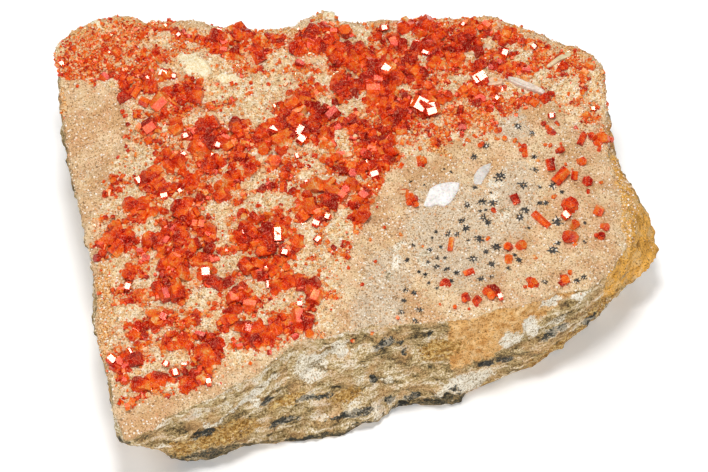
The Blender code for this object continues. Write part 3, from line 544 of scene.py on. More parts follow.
def rock_material(settings):
    """Foliated schist with a weathered, sugary skin: dull and grainy, stained by iron where it is ochre."""
    look, tree, shader = new_material("weathered_schist")
    place = add_node(tree, "ShaderNodeTexCoord").outputs["Object"]
    patterns = speckles(tree, place, (
        ("patches", 6.0, 3.0, 0.6, 0.0),
        ("blushes", 2.5, 3.0, 0.6, 0.0),
        ("knobs", 0.8, 3.0, 0.6, 0.0),
        ("grit", 0.42, 3.0, 0.75, 0.0),
        ("rust", 3.5, 3.0, 0.6, 0.0),
        ("clouds", 2.2, 5.0, 0.6, 0.0),
        ("blots", 1.4, 5.0, 0.6, 0.0),
        ("flecks", 0.7, 3.0, 0.6, 0.0),
        ("grains", 0.32, 2.0, 0.75, 0.0),
        ("crumbs", 0.55, 3.0, 0.7, 0.0),
        ("dents", 1.3, 3.0, 0.6, 0.0),
    ))

    # The broken front: lenses 2 mm thick along the foliation, crumbled into grains of 0.4 mm.
    turned = add_node(
        tree, "ShaderNodeMapping",
        {"Vector": place, "Rotation": (0.0, settings.foliation, 0.0),
         "Scale": (1.0 / (5.5 * MM), 1.0 / (5.0 * MM), 1.0 / (2.0 * MM))},
    ).outputs["Vector"]
    layers = add_node(
        tree, "ShaderNodeTexNoise",
        {"Vector": turned, "Scale": 1.0, "Detail": 5.0, "Roughness": 0.62, "Distortion": 0.5},
    ).outputs["Fac"]
    gritty = add_node(
        tree, "ShaderNodeMath", {0: patterns["grit"], 1: 0.9, 2: -0.65}, operation="MULTIPLY_ADD",
    ).outputs[0]
    patterns["streaks"] = add_node(
        tree, "ShaderNodeMath", {0: layers, 1: 1.4, 2: gritty}, operation="MULTIPLY_ADD",
    ).outputs[0]

    # What each zone is coloured by: the pattern, and the colours that it runs through.
    colours = {}
    for name, pattern, stops in (
        ("skin", "patches", ((0.4, settings.tan), (0.6, settings.cream))),
        ("blush", "blushes", ((0.45, grey(0.0)), (0.7, grey(0.4)))),
        ("lumps", "knobs", ((0.36, "#E2B680"), (0.5, "#F5DCAE"), (0.64, "#FFF5DE"))),
        ("layers", "streaks", ((0.26, "#443C2C"), (0.37, "#8A744C"), (0.46, settings.olive),
                               (0.54, "#D2B988"), (0.62, "#ECDCBC"), (0.70, "#FCF4E4"))),
        ("rust", "rust", ((0.46, grey(0.0)), (0.68, grey(0.6)))),
        ("ochre", "clouds", ((0.36, "#C8903A"), (0.5, settings.ochre), (0.66, "#F0CB90"))),
        ("slab", "blots", ((0.36, "#CC904A"), (0.5, "#EAB874"), (0.66, "#F2CE9A"))),
        ("gold", "flecks", ((0.38, "#8C6224"), (0.5, "#C4954A"), (0.64, "#E9CE8E"))),
        ("white", "streaks", ((0.26, "#8E7C5A"), (0.38, "#E2D6BC"), (0.5, settings.white))),
        ("charcoal", "streaks", ((0.5, settings.charcoal), (0.64, "#ACA492"))),
        # Darker rock along the lower edge: partly dirt, partly painted shade.
        ("foot", "streaks", ((0.36, "#34332C"), (0.5, "#665F4A"), (0.68, "#A88E60"))),
        ("film", "grains", ((0.34, "#A8301A"), (0.45, "#D85A24"), (0.54, "#F08030"), (0.62, "#F29242"),
                            (0.72, "#FFC480"))),
        ("amber", "grains", ((0.32, "#B4662A"), (0.44, "#DE8C3C"), (0.54, "#F0B464"), (0.66, "#FBE4BC"))),
        ("shade", "grains", ((0.33, "#887460"), (0.44, "#EADECC"), (0.53, grey(1.0)))),
        ("yellow", "grains", ((0.36, "#E6C98C"), (0.48, "#F8E4B8"), (0.6, "#FFF6DC"))),
    ):
        ramp = add_node(tree, "ShaderNodeValToRGB", {"Fac": patterns[pattern]}, stops)
        colours[name] = ramp.outputs["Color"]
    colours["broken"] = add_node(
        tree, "ShaderNodeMix", {0: colours["rust"], 6: colours["layers"], 7: linear("#D8A870")},
        data_type="RGBA",
    ).outputs[2]

    def mask(name, raggedness):
        """A zone of the rock, broken up grain by grain where its weight is low."""
        weight = add_node(tree, "ShaderNodeAttribute", attribute_name=name).outputs["Fac"]
        ragged = add_node(
            tree, "ShaderNodeMath", {0: patterns["crumbs"], 1: raggedness, 2: 1.0 - 0.5 * raggedness},
            operation="MULTIPLY_ADD",
        ).outputs[0]
        cut = add_node(tree, "ShaderNodeMath", {0: weight, 1: ragged}, operation="MULTIPLY").outputs[0]
        return add_node(
            tree, "ShaderNodeMapRange", {"Value": cut, "From Min": 0.35, "From Max": 0.65},
        ).outputs[0]

    # The skin, blushed with iron, and over it each zone in turn. The grains darken and pale everything but
    # the pale yellow.
    # The greyer patches are in part painted shade, on a slope away from the light and under a ledge.
    steps = [(colours["blush"], linear("#E6B896"), "MIX"), (mask("ashen", 3.0), linear("#DFCCB2"), "MIX")]
    # The foot zone darkens the lower edge: partly dirt, partly painted shade where the front turns under.
    for name, raggedness in (("lumps", 1.5), ("broken", 1.5), ("ochre", 3.0), ("slab", 2.0), ("gold", 5.0),
                             ("white", 4.0), ("charcoal", 4.0), ("foot", 3.0), ("film", 5.0), ("amber", 5.0)):
        steps.append((mask(name, raggedness), colours[name], "MIX"))
    steps.append((1.0, colours["shade"], "MULTIPLY"))
    steps.append((mask("yellow", 2.5), colours["yellow"], "MIX"))
    colour = colours["skin"]
    for share, over, blend in steps:
        colour = add_node(
            tree, "ShaderNodeMix", {0: share, 6: colour, 7: over}, data_type="RGBA", blend_type=blend,
        ).outputs[2]
    tree.links.new(colour, shader.inputs["Base Color"])
    shader.inputs["Roughness"].default_value = 0.85
    shader.inputs["Specular IOR Level"].default_value = 0.3
    dents = add_node(
        tree, "ShaderNodeBump", {"Height": patterns["dents"], "Distance": 0.3 * MM, "Strength": 0.5},
    ).outputs["Normal"]
    pores = add_node(
        tree, "ShaderNodeBump",
        {"Height": patterns["grains"], "Distance": 0.25 * MM, "Strength": 0.9, "Normal": dents},
    ).outputs["Normal"]
    tree.links.new(pores, shader.inputs["Normal"])
    return look


def crystal_material(name, settings, base=0.0):
    """Vanadinite, grown with mirror-flat faces: an adamantine lustre, and red-orange light from within.

    Crystals are alike over about 3.5 mm, and each has its own tone on top of that where it has the attribute.
    Each flat face then gets a painted light of its own, a little lighter or darker, for light that travels
    another way behind it.
    """
    look, tree, shader = new_material(name)
    coordinates = add_node(tree, "ShaderNodeTexCoord").outputs
    place = coordinates["Object"]
    patterns = speckles(tree, place, (
        ("around", 3.5, 2.0, 0.6, 0.0),
        ("veils", 0.9, 3.0, 0.6, 0.0),
        ("flaws", 0.5, 4.0, 0.7, 1.2),
        ("cracks_and_highlights", 0.42, 3.0, 0.7, 2.0),
    ))
    behind = add_node(
        tree, "ShaderNodeVectorMath",
        {0: coordinates["Normal"], 1: (2.7, 2.7, 2.7), 2: (0.4, 0.1, 0.7)}, operation="MULTIPLY_ADD",
    ).outputs[0]
    nearby = add_node(
        tree, "ShaderNodeVectorMath", {0: place, 1: (220.0, 220.0, 220.0), 2: behind},
        operation="MULTIPLY_ADD",
    ).outputs[0]
    # Painted light: each flat face a little lighter or darker by the way it faces and where it lies.
    facet_light = add_node(
        tree, "ShaderNodeTexNoise", {"Vector": nearby, "Scale": 1.0, "Detail": 1.0},
    ).outputs["Fac"]
    own = add_node(tree, "ShaderNodeAttribute", attribute_name="tone").outputs["Fac"]
    level = add_node(
        tree, "ShaderNodeMapRange",
        {"Value": patterns["around"], "From Min": 0.32, "From Max": 0.68, "To Max": 0.6},
    ).outputs[0]
    for pattern, share in ((own, 0.55), (facet_light, 1.3), (patterns["flaws"], 1.4)):
        level = add_node(
            tree, "ShaderNodeMath", {0: pattern, 1: share, 2: level}, operation="MULTIPLY_ADD",
        ).outputs[0]
    level = add_node(tree, "ShaderNodeMath", {0: level, 1: 1.47 - base}, operation="SUBTRACT").outputs[0]

    # Veils of tiny bubbles, and pale flecks 0.1 mm wide: partly healed cracks, partly painted highlights.
    ramps = []
    for factor, stops in (
        (level, ((0.05, settings.deep), (0.25, "#D01600"), (0.47, settings.bright), (0.7, "#FF7414"),
                 (0.88, settings.amber), (1.0, "#FFDFAE"))),
        (patterns["veils"], ((0.3, grey(0.4)), (0.6, grey(1.0)))),
        (patterns["cracks_and_highlights"], ((0.55, grey(0.0)), (0.62, grey(0.7)))),
        (patterns["veils"], ((0.35, grey(0.03)), (0.7, grey(0.1)))),
    ):
        ramps.append(add_node(tree, "ShaderNodeValToRGB", {"Fac": factor}, stops).outputs["Color"])
    body, veils, cracks_and_highlights, wear = ramps
    veiled = add_node(
        tree, "ShaderNodeMix", {0: 0.2, 6: body, 7: veils}, data_type="RGBA", blend_type="MULTIPLY",
    ).outputs[2]
    # Pale flecks mixed into the colour: partly healed cracks, partly painted highlights.
    colour = add_node(
        tree, "ShaderNodeMix", {0: cracks_and_highlights, 6: veiled, 7: linear("#FFAE88")}, data_type="RGBA",
    ).outputs[2]
    tree.links.new(colour, shader.inputs["Base Color"])
    tree.links.new(wear, shader.inputs["Roughness"])
    shader.inputs["IOR"].default_value = 2.35
    shader.inputs["Transmission Weight"].default_value = 0.12
    shader.inputs["Specular Tint"].default_value = (0.62, 0.15, 0.12, 1.0)
    return look


def grain_material():
    """Loose grains of the skin: sugary calcite and quartz, pale, a few of them tan or stained orange."""
    look, tree, shader = new_material("sugary_grains")
    tone = add_node(tree, "ShaderNodeAttribute", attribute_name="tone").outputs["Fac"]
    colour = add_node(tree, "ShaderNodeValToRGB", {"Fac": tone}, (
        (0.0, "#9A7A54"), (0.12, "#D0A676"), (0.25, "#E2A878"), (0.38, "#E6C8A0"), (0.65, "#F3E0C2"),
        (1.0, "#FFFAF0"),
    )).outputs["Color"]
    tree.links.new(colour, shader.inputs["Base Color"])
    shader.inputs["Roughness"].default_value = 0.5
    return look


def spray_material():
    """Manganese oxide, grown as thin needles: black with a faint metallic sheen."""
    look, tree, shader = new_material("manganese_oxide_spray")
    place = add_node(tree, "ShaderNodeTexCoord").outputs["Object"]
    patches = speckles(tree, place, (("patches", 0.6, 3.0, 0.6, 0.0),))["patches"]
    colour = add_node(
        tree, "ShaderNodeValToRGB", {"Fac": patches}, ((0.35, "#262422"), (0.65, "#55504A")),
    ).outputs["Color"]
    tree.links.new(colour, shader.inputs["Base Color"])
    shader.inputs["Roughness"].default_value = 0.6
    shader.inputs["Specular IOR Level"].default_value = 0.3
    return look


def plate_material(name, text):
    """Cleaved calcite or baryte: pale, waxy, with faint cloudy patches of 0.5 mm."""
    look, tree, shader = new_material(name)
    place = add_node(tree, "ShaderNodeTexCoord").outputs["Object"]
    patches = speckles(tree, place, (("patches", 0.5, 3.0, 0.6, 0.0),))["patches"]
    clouds = add_node(
        tree, "ShaderNodeValToRGB", {"Fac": patches}, ((0.35, grey(0.6)), (0.55, grey(1.0))),
    ).outputs["Color"]
    colour = add_node(
        tree, "ShaderNodeMix", {0: 0.6, 6: linear(text), 7: clouds}, data_type="RGBA", blend_type="MULTIPLY",
    ).outputs[2]
    tree.links.new(colour, shader.inputs["Base Color"])
    shader.inputs["Roughness"].default_value = 0.38
    shader.inputs["Subsurface Weight"].default_value = 0.15
    shader.inputs["Subsurface Scale"].default_value = 0.5 * MM
    return look


def plain_floor():
    """A smooth pale board, lit a little from below."""
    look, _, shader = new_material("pale_board")
    shader.inputs["Base Color"].default_value = linear("#FAFAFA")
    shader.inputs["Emission Color"].default_value = grey(1.0)
    shader.inputs["Emission Strength"].default_value = 0.2
    shader.inputs["Roughness"].default_value = 0.9
    return look


# ---------------------------------------------------------------------------------------------------
# The rock
# ---------------------------------------------------------------------------------------------------


def even_mesh(settings):
    """The matrix as an even fine mesh, with its flat facets smoothed away."""
    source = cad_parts["matrix"].data.copy()
    bm = bmesh.new()
    bm.from_mesh(source)
    bmesh.ops.remove_doubles(bm, verts=bm.verts, dist=0.01 * MM)
    bm.to_mesh(source)
    bm.free()
    rough = add_object("matrix_rough", source)
    remesh = rough.modifiers.new("Even", "REMESH")
    remesh.mode = "VOXEL"
    remesh.voxel_size = settings.voxel
    smooth = rough.modifiers.new("Smooth", "SMOOTH")
    smooth.factor = 0.5
    smooth.iterations = 8
    return applied(rough, "matrix_rock")


def terraces(values, steps):
    """Turns smooth values into steps with sharp risers."""
    scaled = values * steps
    floor = np.floor(scaled)
    return (floor + smooth_step(0.3, 0.7, scaled - floor)) / steps


def rock_masks(points, normals):
    """What the rock is made of at each point, and where crystals grow on it: weights from 0 to 1 by name."""
    mm = points / MM
    column, row = sight_places(points)
    near = column + 3.0 * noise_field(mm, 1.8, 7.0) + 2.0 * noise_field(mm, 0.9, 17.0)
    low = row + 2.5 * noise_field(mm, 1.6, 27.0) + 2.0 * noise_field(mm, 0.9, 37.0)
    seen = smooth_step(-0.05, 0.2, -(normals @ np.array(SIGHT_AWAY)))
    hidden = 1.0 - seen
    skin = smooth_step(0.35, 0.7, normals[:, 2] + 0.1 * noise_field(mm, 2.5, 3.0))
    broken = 1.0 - skin

    zone = skin * outline_weight(near, low, CRUST_OUTLINE, 6.0)
    gaps = patch_weight(near, low, GAPS, 0.3)
    masses = patch_weight(near, low, MASSES, 0.4)
    inner = outline_weight(column, row, CRUST_OUTLINE, 9.0)
    fine = patch_weight(near, low, FINE_AREAS, 0.3)
    sheet = np.stack([column / 33.0, row / 15.0, column * 0.0], 1)
    patchy = noise_field(sheet, 1.0, 11.0) + 0.5 * noise_field(sheet, 0.4, 12.0)
    grown = patchy + masses + 0.6 * fine
    crust = zone * (1.0 - gaps) * smooth_step(-0.06, 0.3, grown)
    stains = seen * patch_weight(near, low, ORANGE_STAINS, 0.5)
    yellow = seen * skin * patch_weight(near, low, PALE_YELLOW)
    bare = zone * (1.0 - yellow) * (1.0 - crust)
    flushed = zone * smooth_step(-0.1, 0.45, noise_field(mm, 1.8, 5.0))
    few = 1.0 - 0.8 * smooth_step(*LARGE_FADE, column)

    foot = np.full(len(points), 1e9)
    for start, end in zip(LOWER_EDGE, LOWER_EDGE[1:]):
        foot = np.minimum(foot, line_distance(near, low, start, end))
    veins = noise_field(np.stack([mm[:, 0] / 7.0, mm[:, 1] / 7.0, mm[:, 2] / 1.8], 1), 1.0, 23.0)
    side = hidden * broken
    rust = smooth_step(0.0, 0.7, noise_field(mm, (9.0, 9.0, 4.0), 4.0))
    white = patch_weight(near, low, WHITE_PATCHES, 0.5)
    charcoal = patch_weight(near, low, CHARCOAL, 0.5)
    return {
        "skin": skin,
        "broken": broken,
        "crust": crust,
        "masses": masses * zone,
        "lumps": zone * np.maximum(gaps, 0.6 * (1.0 - crust)),
        "ochre": seen * outline_weight(near, low, OCHRE_OUTLINE, 6.0) + 0.8 * side * rust,
        "slab": seen * outline_weight(near, low, SLAB_OUTLINE, 6.0) * broken,
        "gold": seen * patch_weight(near, low, GOLD_PATCHES, 0.6) * broken,
        "white": np.maximum(seen * white, side * smooth_step(0.3, 0.45, veins)),
        "charcoal": np.maximum(seen * charcoal * broken, side * smooth_step(-0.33, -0.45, veins)),
        "swelling": seen * patch_weight(near, low, SWELLINGS, 0.5),
        # Darker towards the lower edge: partly dirt, partly painted shade where the front turns under.
        "foot": 0.9 * seen * broken * (1.0 - smooth_step(4.0, 12.0, foot)),
        "yellow": yellow,
        # Greyer skin, in part painted shade: a slope that faces away from the light and a step under a ledge.
        "ashen": 0.75 * seen * patch_weight(near, low, GREY_AND_SHADED_SKIN, 0.5) * skin,
        "amber": np.maximum(0.65 * stains, 0.5 * flushed),
        "film": zone * (1.0 - gaps) * np.maximum(0.62 * smooth_step(-0.6, 0.2, grown), fine),
        "grow_large": masses * zone * smooth_step(0.5, 0.9, inner) * (1.0 - gaps) * (1.0 - fine) * few,
        "grow_medium": crust * (0.3 + 0.7 * masses) * (1.0 - fine) * smooth_step(0.3, 0.8, inner),
        "grow_small": crust * (0.75 - 0.35 * masses) * (1.0 - 0.6 * fine),
        "grow_fine": zone * (1.0 - yellow) * np.maximum(fine * crust, 0.4 * crust),
        "grow_sprinkled": np.maximum(bare, stains * skin),
        "grow_grains": skin * (1.0 - 0.5 * crust) * (1.0 - yellow) * (1.0 - fine),
    }


def rock_relief(points, masks, settings):
    """How far each point moves along its normal, in millimetres."""
    mm = points / MM
    angle = settings.foliation
    along = mm[:, 0] * math.cos(angle) + mm[:, 2] * math.sin(angle)
    through = mm[:, 2] * math.cos(angle) - mm[:, 0] * math.sin(angle)
    sheet = np.stack([along / 9.0, mm[:, 1] / 8.0, through / 2.2], 1)
    layers = terraces(noise_field(sheet, 1.0, 2.0), 3.0) + 0.4 * noise_field(sheet, 0.35, 9.0)
    crumbs = noise_field(mm, 1.1, 4.0) + 0.6 * noise_field(mm, 1.1, 14.0)
    move = masks["broken"] * (0.4 * layers + 0.45 * crumbs + 0.4 * noise_field(mm, 3.2, 41.0))
    bare = masks["skin"] * (1.0 - masks["crust"])
    move += masks["skin"] * (settings.rise / MM + 0.25 * noise_field(mm, 2.6, 1.0))
    move += bare * (0.26 * crumbs + 0.25 * terraces(noise_field(mm, 4.2, 8.0), 3.0))
    move += 0.45 * masks["lumps"] * smooth_step(-0.3, 0.5, noise_field(mm, 1.5, 19.0))
    move += 0.3 * masks["masses"] + 0.7 * masks["yellow"] + 1.5 * masks["swelling"]
    return move


def make_rock(settings):
    """The slab with its relief, and its zones as attributes. The flat face that it rests on stays flat."""
    rock = even_mesh(settings)
    mesh = rock.data
    points = mesh_points(mesh)
    normals = mesh_normals(mesh)
    masks = rock_masks(points, normals)
    free = smooth_step(-0.9, -0.6, normals[:, 2]) * smooth_step(0.0, 1.2, points[:, 2] / MM)
    points += normals * (rock_relief(points, masks, settings) * free * MM)[:, None]
    points[:, 2] = np.maximum(points[:, 2], 0.0)
    mesh.vertices.foreach_set("co", points.ravel())
    for name, values in masks.items():
        set_attribute(mesh, name, values)
    mesh.shade_smooth()
    mesh.update()
    return rock


def rock_surface():
    """The rock's faces, for lines of sight to meet."""
    mesh = bpy.data.objects["matrix_rock"].data
    return BVHTree.FromPolygons(
        [vert.co for vert in mesh.vertices], [tuple(face.vertices) for face in mesh.polygons])


# ---------------------------------------------------------------------------------------------------
# Trees that grow and plant shapes on the rock
# ---------------------------------------------------------------------------------------------------

GROW_INPUTS = (
    ("Mask", "NodeSocketString", "crust"),
    ("Spacing", "NodeSocketFloat", 0.001),
    ("Density", "NodeSocketFloat", 1e6),
    ("Smallest", "NodeSocketFloat", 0.001),
    ("Largest", "NodeSocketFloat", 0.002),
    ("Bias", "NodeSocketFloat", 1.8),
    ("Flattest", "NodeSocketFloat", 0.5),
    ("Tallest", "NodeSocketFloat", 1.2),
    ("Lift", "NodeSocketFloat", 0.1),
    ("Tone Low", "NodeSocketFloat", 0.0),
    ("Tone High", "NodeSocketFloat", 1.0),
    ("Seed", "NodeSocketInt", 0),
)

# What each planted shape has of its own, in the order of the rows that plant takes.
SPOT_VALUES = (("facing", "FLOAT_VECTOR"), ("spin", "FLOAT"), ("scale", "FLOAT_VECTOR"), ("tone", "FLOAT"))


def start_tree(name, inputs):
    """A tree with named inputs for the shapes, the finish and the given values; also its input sockets."""
    tree = bpy.data.node_groups.new(name, "GeometryNodeTree")
    face = tree.interface
    face.new_socket("Geometry", in_out="INPUT", socket_type="NodeSocketGeometry")
    for label in ("Shape A", "Shape B"):
        face.new_socket(label, in_out="INPUT", socket_type="NodeSocketObject")
    for label, kind, default in inputs:
        face.new_socket(label, in_out="INPUT", socket_type=kind).default_value = default
    face.new_socket("Finish", in_out="INPUT", socket_type="NodeSocketMaterial")
    face.new_socket("Geometry", in_out="OUTPUT", socket_type="NodeSocketGeometry")
    return tree, add_node(tree, "NodeGroupInput").outputs


def place_shapes(tree, given, points, turn, scale):
    """Instances of the two shapes in turn on the points."""
    shapes = add_node(tree, "GeometryNodeJoinGeometry")
    for label in ("Shape A", "Shape B"):
        shape = add_node(tree, "GeometryNodeObjectInfo", {"Object": given[label], "As Instance": True})
        tree.links.new(shape.outputs["Geometry"], shapes.inputs[0])
    return add_node(
        tree, "GeometryNodeInstanceOnPoints",
        {"Points": points, "Instance": shapes.outputs[0], "Pick Instance": True, "Rotation": turn,
         "Scale": scale},
    ).outputs["Instances"]


def end_tree(tree, given, grown, tone):
    """Tones the instances, makes them real and gives them their finish."""
    toned = add_node(
        tree, "GeometryNodeStoreNamedAttribute", {"Geometry": grown, "Name": "tone", "Value": tone},
        data_type="FLOAT", domain="INSTANCE",
    ).outputs["Geometry"]
    real = add_node(tree, "GeometryNodeRealizeInstances", {"Geometry": toned}).outputs["Geometry"]
    finished = add_node(
        tree, "GeometryNodeSetMaterial", {"Geometry": real, "Material": given["Finish"]},
    ).outputs["Geometry"]
    add_node(tree, "NodeGroupOutput", {"Geometry": finished})


def grow_tree():
    """Scatters shapes over the faces that a mask allows, each turned, sized and toned at random."""
    tree, given = start_tree("grow_on_rock", GROW_INPUTS)
    allowed = add_node(
        tree, "GeometryNodeInputNamedAttribute", {"Name": given["Mask"]}, data_type="FLOAT",
    ).outputs["Attribute"]
    spots = add_node(
        tree, "GeometryNodeDistributePointsOnFaces",
        {"Mesh": given["Geometry"], "Distance Min": given["Spacing"], "Density Max": given["Density"],
         "Density Factor": allowed, "Seed": given["Seed"]},
        distribute_method="POISSON",
    ).outputs
    chances = []
    for low, high, seed in ((0.0, 1.0, 7), (given["Flattest"], given["Tallest"], 11),
                            (given["Tone Low"], given["Tone High"], 31)):
        chances.append(add_node(
            tree, "FunctionNodeRandomValue", {2: low, 3: high, "Seed": seed}, data_type="FLOAT",
        ).outputs[1])
    rank, stretch, tone = chances
    skewed = add_node(tree, "ShaderNodeMath", {0: rank, 1: given["Bias"]}, operation="POWER").outputs[0]
    size = add_node(
        tree, "ShaderNodeMapRange",
        {"Value": skewed, "To Min": given["Smallest"], "To Max": given["Largest"]},
    ).outputs[0]
    height = add_node(tree, "ShaderNodeMath", {0: size, 1: given["Lift"]}, operation="MULTIPLY").outputs[0]
    offset = add_node(
        tree, "ShaderNodeVectorMath", {0: spots["Normal"], "Scale": height}, operation="SCALE",
    ).outputs[0]
    lifted = add_node(
        tree, "GeometryNodeSetPosition", {"Geometry": spots["Points"], "Offset": offset},
    ).outputs["Geometry"]
    turn = add_node(
        tree, "FunctionNodeRandomValue",
        {0: (0.0, 0.0, 0.0), 1: (2.0 * math.pi,) * 3, "Seed": given["Seed"]}, data_type="FLOAT_VECTOR",
    ).outputs[0]
    tall = add_node(tree, "ShaderNodeMath", {0: size, 1: stretch}, operation="MULTIPLY").outputs[0]
    scale = add_node(tree, "ShaderNodeCombineXYZ", {"X": size, "Y": size, "Z": tall}).outputs[0]
    end_tree(tree, given, place_shapes(tree, given, lifted, turn, scale), tone)
    return tree


def plant_tree():
    """Puts a shape on each point of a mesh that says which way it faces, how it is turned and how large."""
    tree, given = start_tree("plant_at_spots", ())
    own = {}
    for name, kind in SPOT_VALUES:
        own[name] = add_node(
            tree, "GeometryNodeInputNamedAttribute", {"Name": name}, data_type=kind,
        ).outputs["Attribute"]
    upright = add_node(
        tree, "FunctionNodeAlignRotationToVector", {"Vector": own["facing"]}, axis="Z",
    ).outputs[0]
    spin = add_node(
        tree, "FunctionNodeAxisAngleToRotation", {"Axis": (0.0, 0.0, 1.0), "Angle": own["spin"]},
    ).outputs[0]
    turn = add_node(
        tree, "FunctionNodeRotateRotation", {"Rotation": upright, "Rotate By": spin}, rotation_space="LOCAL",
    ).outputs[0]
    end_tree(tree, given, place_shapes(tree, given, given["Geometry"], turn, own["scale"]), own["tone"])
    return tree


def run_tree(ground, tree, name, values):
    """One joined mesh of everything that the tree makes on the ground."""
    modifier = ground.modifiers.new("Grow", "NODES")
    modifier.node_group = tree
    sockets = {item.name: item.identifier for item in tree.interface.items_tree if item.in_out == "INPUT"}
    for label, value in values.items():
        modifier[sockets[label]] = value
    return applied(ground, name)


def grow(name, tree, shapes, look, **values):
    """A crop of shapes on the rock; the values are those of GROW_INPUTS."""
    ground = add_object(name + "_ground", bpy.data.objects["matrix_rock"].data)
    values = {key.replace("_", " ").title(): value for key, value in values.items()}
    values.update({"Shape A": shapes[0], "Shape B": shapes[1], "Finish": look})
    return run_tree(ground, tree, name, values)


def plant(name, tree, shapes, look, spots):
    """Shapes at given spots, which has a row for each shape: place, facing, spin, scale and tone."""
    mesh = bpy.data.meshes.new(name + "_spots")
    mesh.from_pydata([row[0] for row in spots], [], [])
    for place, (label, kind) in enumerate(SPOT_VALUES, 1):
        set_attribute(mesh, label, [row[place] for row in spots], kind)
    values = {"Shape A": shapes[0], "Shape B": shapes[1], "Finish": look}
    return run_tree(add_object(name + "_ground", mesh), tree, name, values)


def shape_object(name, bm):
    """A new object of a finished bmesh, its faces outwards."""
    bmesh.ops.recalc_face_normals(bm, faces=bm.faces)
    mesh = bpy.data.meshes.new(name)
    bm.to_mesh(mesh)
    bm.free()
    return add_object(name, mesh)


def prism_shape(name, sides=6, top=1.0, rim=0.0):
    """A crystal of unit width and length; top narrows its upper end, and rim cuts the edge round it."""
    bm = bmesh.new()
    bmesh.ops.create_cone(bm, cap_ends=True, segments=sides, radius1=0.5, radius2=0.5 * top, depth=1.0)
    if rim:
        edges = [edge for edge in bm.edges if min(vert.co.z for vert in edge.verts) > 0.4]
        bmesh.ops.bevel(bm, geom=edges, offset=rim, segments=1, affect="EDGES")
    return shape_object(name, bm)


def lying_shape(name):
    """A hexagonal crystal on its side: a flat face up, its length along X, both of unit size."""
    bm = bmesh.new()
    bmesh.ops.create_cone(bm, cap_ends=True, segments=6, radius1=1.0, radius2=1.0, depth=1.0)
    cosine, sine = math.cos(math.radians(30.0)), math.sin(math.radians(30.0))
    for vert in bm.verts:
        x, y, z = vert.co
        vert.co = (z, x * cosine - y * sine, x * sine + y * cosine)
    return shape_object(name, bm)


def grain_shape(name, seed):
    """A rough grain of about unit width with eight faces."""
    rng = random.Random(seed)
    bm = bmesh.new()
    bmesh.ops.create_cone(bm, cap_ends=False, segments=4, radius1=0.5, radius2=0.0, depth=0.5)
    base = [vert for vert in bm.verts if vert.co.z < 0.0]
    foot = bm.verts.new((0.0, 0.0, -0.75))
    rim = sorted(base, key=lambda vert: math.atan2(vert.co.y, vert.co.x))
    for first, second in zip(rim, rim[1:] + rim[:1]):
        bm.faces.new((first, second, foot))
    for vert in bm.verts:
        vert.co = (vert.co + Vector((0.0, 0.0, 0.25))) * rng.uniform(0.75, 1.15)
    return shape_object(name, bm)


def spray_shape(name, arms, seed):
    """Thin needles round a middle, of unit radius, some with a side twig."""
    rng = random.Random(seed)
    bm = bmesh.new()

    def needle(start, angle, length, width):
        """A flat spindle of eight faces, half its height above the ground."""
        way = Vector((math.cos(angle), math.sin(angle), 0.0))
        across = Vector((-way.y, way.x, 0.0))
        middle = start + way * length * 0.4
        spine = [bm.verts.new(middle + across * width), bm.verts.new(middle + Vector((0.0, 0.0, 0.07))),
                 bm.verts.new(middle - across * width), bm.verts.new(middle - Vector((0.0, 0.0, 0.07)))]
        ends = [bm.verts.new(start), bm.verts.new(start + way * length)]
        for end in ends:
            for first, second in zip(spine, spine[1:] + spine[:1]):
                bm.faces.new((first, second, end))

    for arm in range(arms):
        angle = 2.0 * math.pi * (arm + rng.uniform(-0.3, 0.3)) / arms
        length = rng.uniform(0.55, 1.0)
        needle(Vector(), angle, length, rng.uniform(0.11, 0.18))
        if rng.random() < 0.6:
            root = Vector((math.cos(angle), math.sin(angle), 0.0)) * length * rng.uniform(0.3, 0.6)
            needle(root, angle + rng.choice((-0.8, 0.8)), length * 0.45, 0.1)
    heights = [vert.co.z for vert in bm.verts]
    item = shape_object(name, bm)
    set_attribute(item.data, "height", heights)
    return item


def remove_shapes(*shapes):
    """Removes shapes that are only there to be copied."""
    for shape in shapes:
        bpy.data.objects.remove(shape, do_unlink=True)


# ---------------------------------------------------------------------------------------------------
# Operators
# ---------------------------------------------------------------------------------------------------


class SPECIMEN_OT_rock(bpy.types.Operator):
    """Make the slab of rock with its relief and mineral zones"""

    bl_idname = "specimen.rock"
    bl_label = "Rock"

    def execute(self, context):
        settings = context.scene.specimen_rock
        finish_piece(make_rock(settings), "matrix_stone", rock_material(settings), "matrix")
        return {"FINISHED"}


class SPECIMEN_OT_crystals(bpy.types.Operator):
    """Finish the separate crystals and clusters"""

    bl_idname = "specimen.crystals"
    bl_label = "Crystals"

    def execute(self, context):
        look = crystal_material("vanadinite_crystal", context.scene.specimen_crust, 0.28)
        for name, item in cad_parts.items():
            if name != "matrix":
                item.data.materials.clear()
                item.data.materials.append(look)
        return {"FINISHED"}


# The crystals of the crust, from the largest to those sprinkled round it: name, the two shapes, spacing in
# millimetres, density in crystals a square metre, least and greatest width in millimetres (0 stands for the
# setting), bias towards the small ones, least and greatest length for the width, how far they stand out,
# range of tones, and what is added to the seed.
CROPS = (
    ("large", ("block", "plain"), 1.15, 1.6e6, (1.6, 0), 2.0, (0.5, 1.1), 0.12, (0.0, 0.7), 0),
    ("medium", ("plain", "barrel"), 0.75, 3e6, (0.9, 1.7), 2.0, (0.5, 1.3), 0.1, (0.0, 1.0), 1),
    ("small", ("plain", "barrel"), 0.42, 7e6, (0.45, 0.95), 1.5, (0.6, 1.4), 0.15, (0.2, 1.4), 2),
    ("fine", ("tiny", "cube"), 0.2, 1.5e7, (0, 0.5), 1.3, (0.6, 1.3), 0.2, (0.3, 1.9), 3),
    ("sprinkled", ("tiny", "cube"), 0.9, 0.75e6, (0.3, 0.85), 1.6, (0.6, 1.3), 0.1, (0.8, 1.9), 5),
)


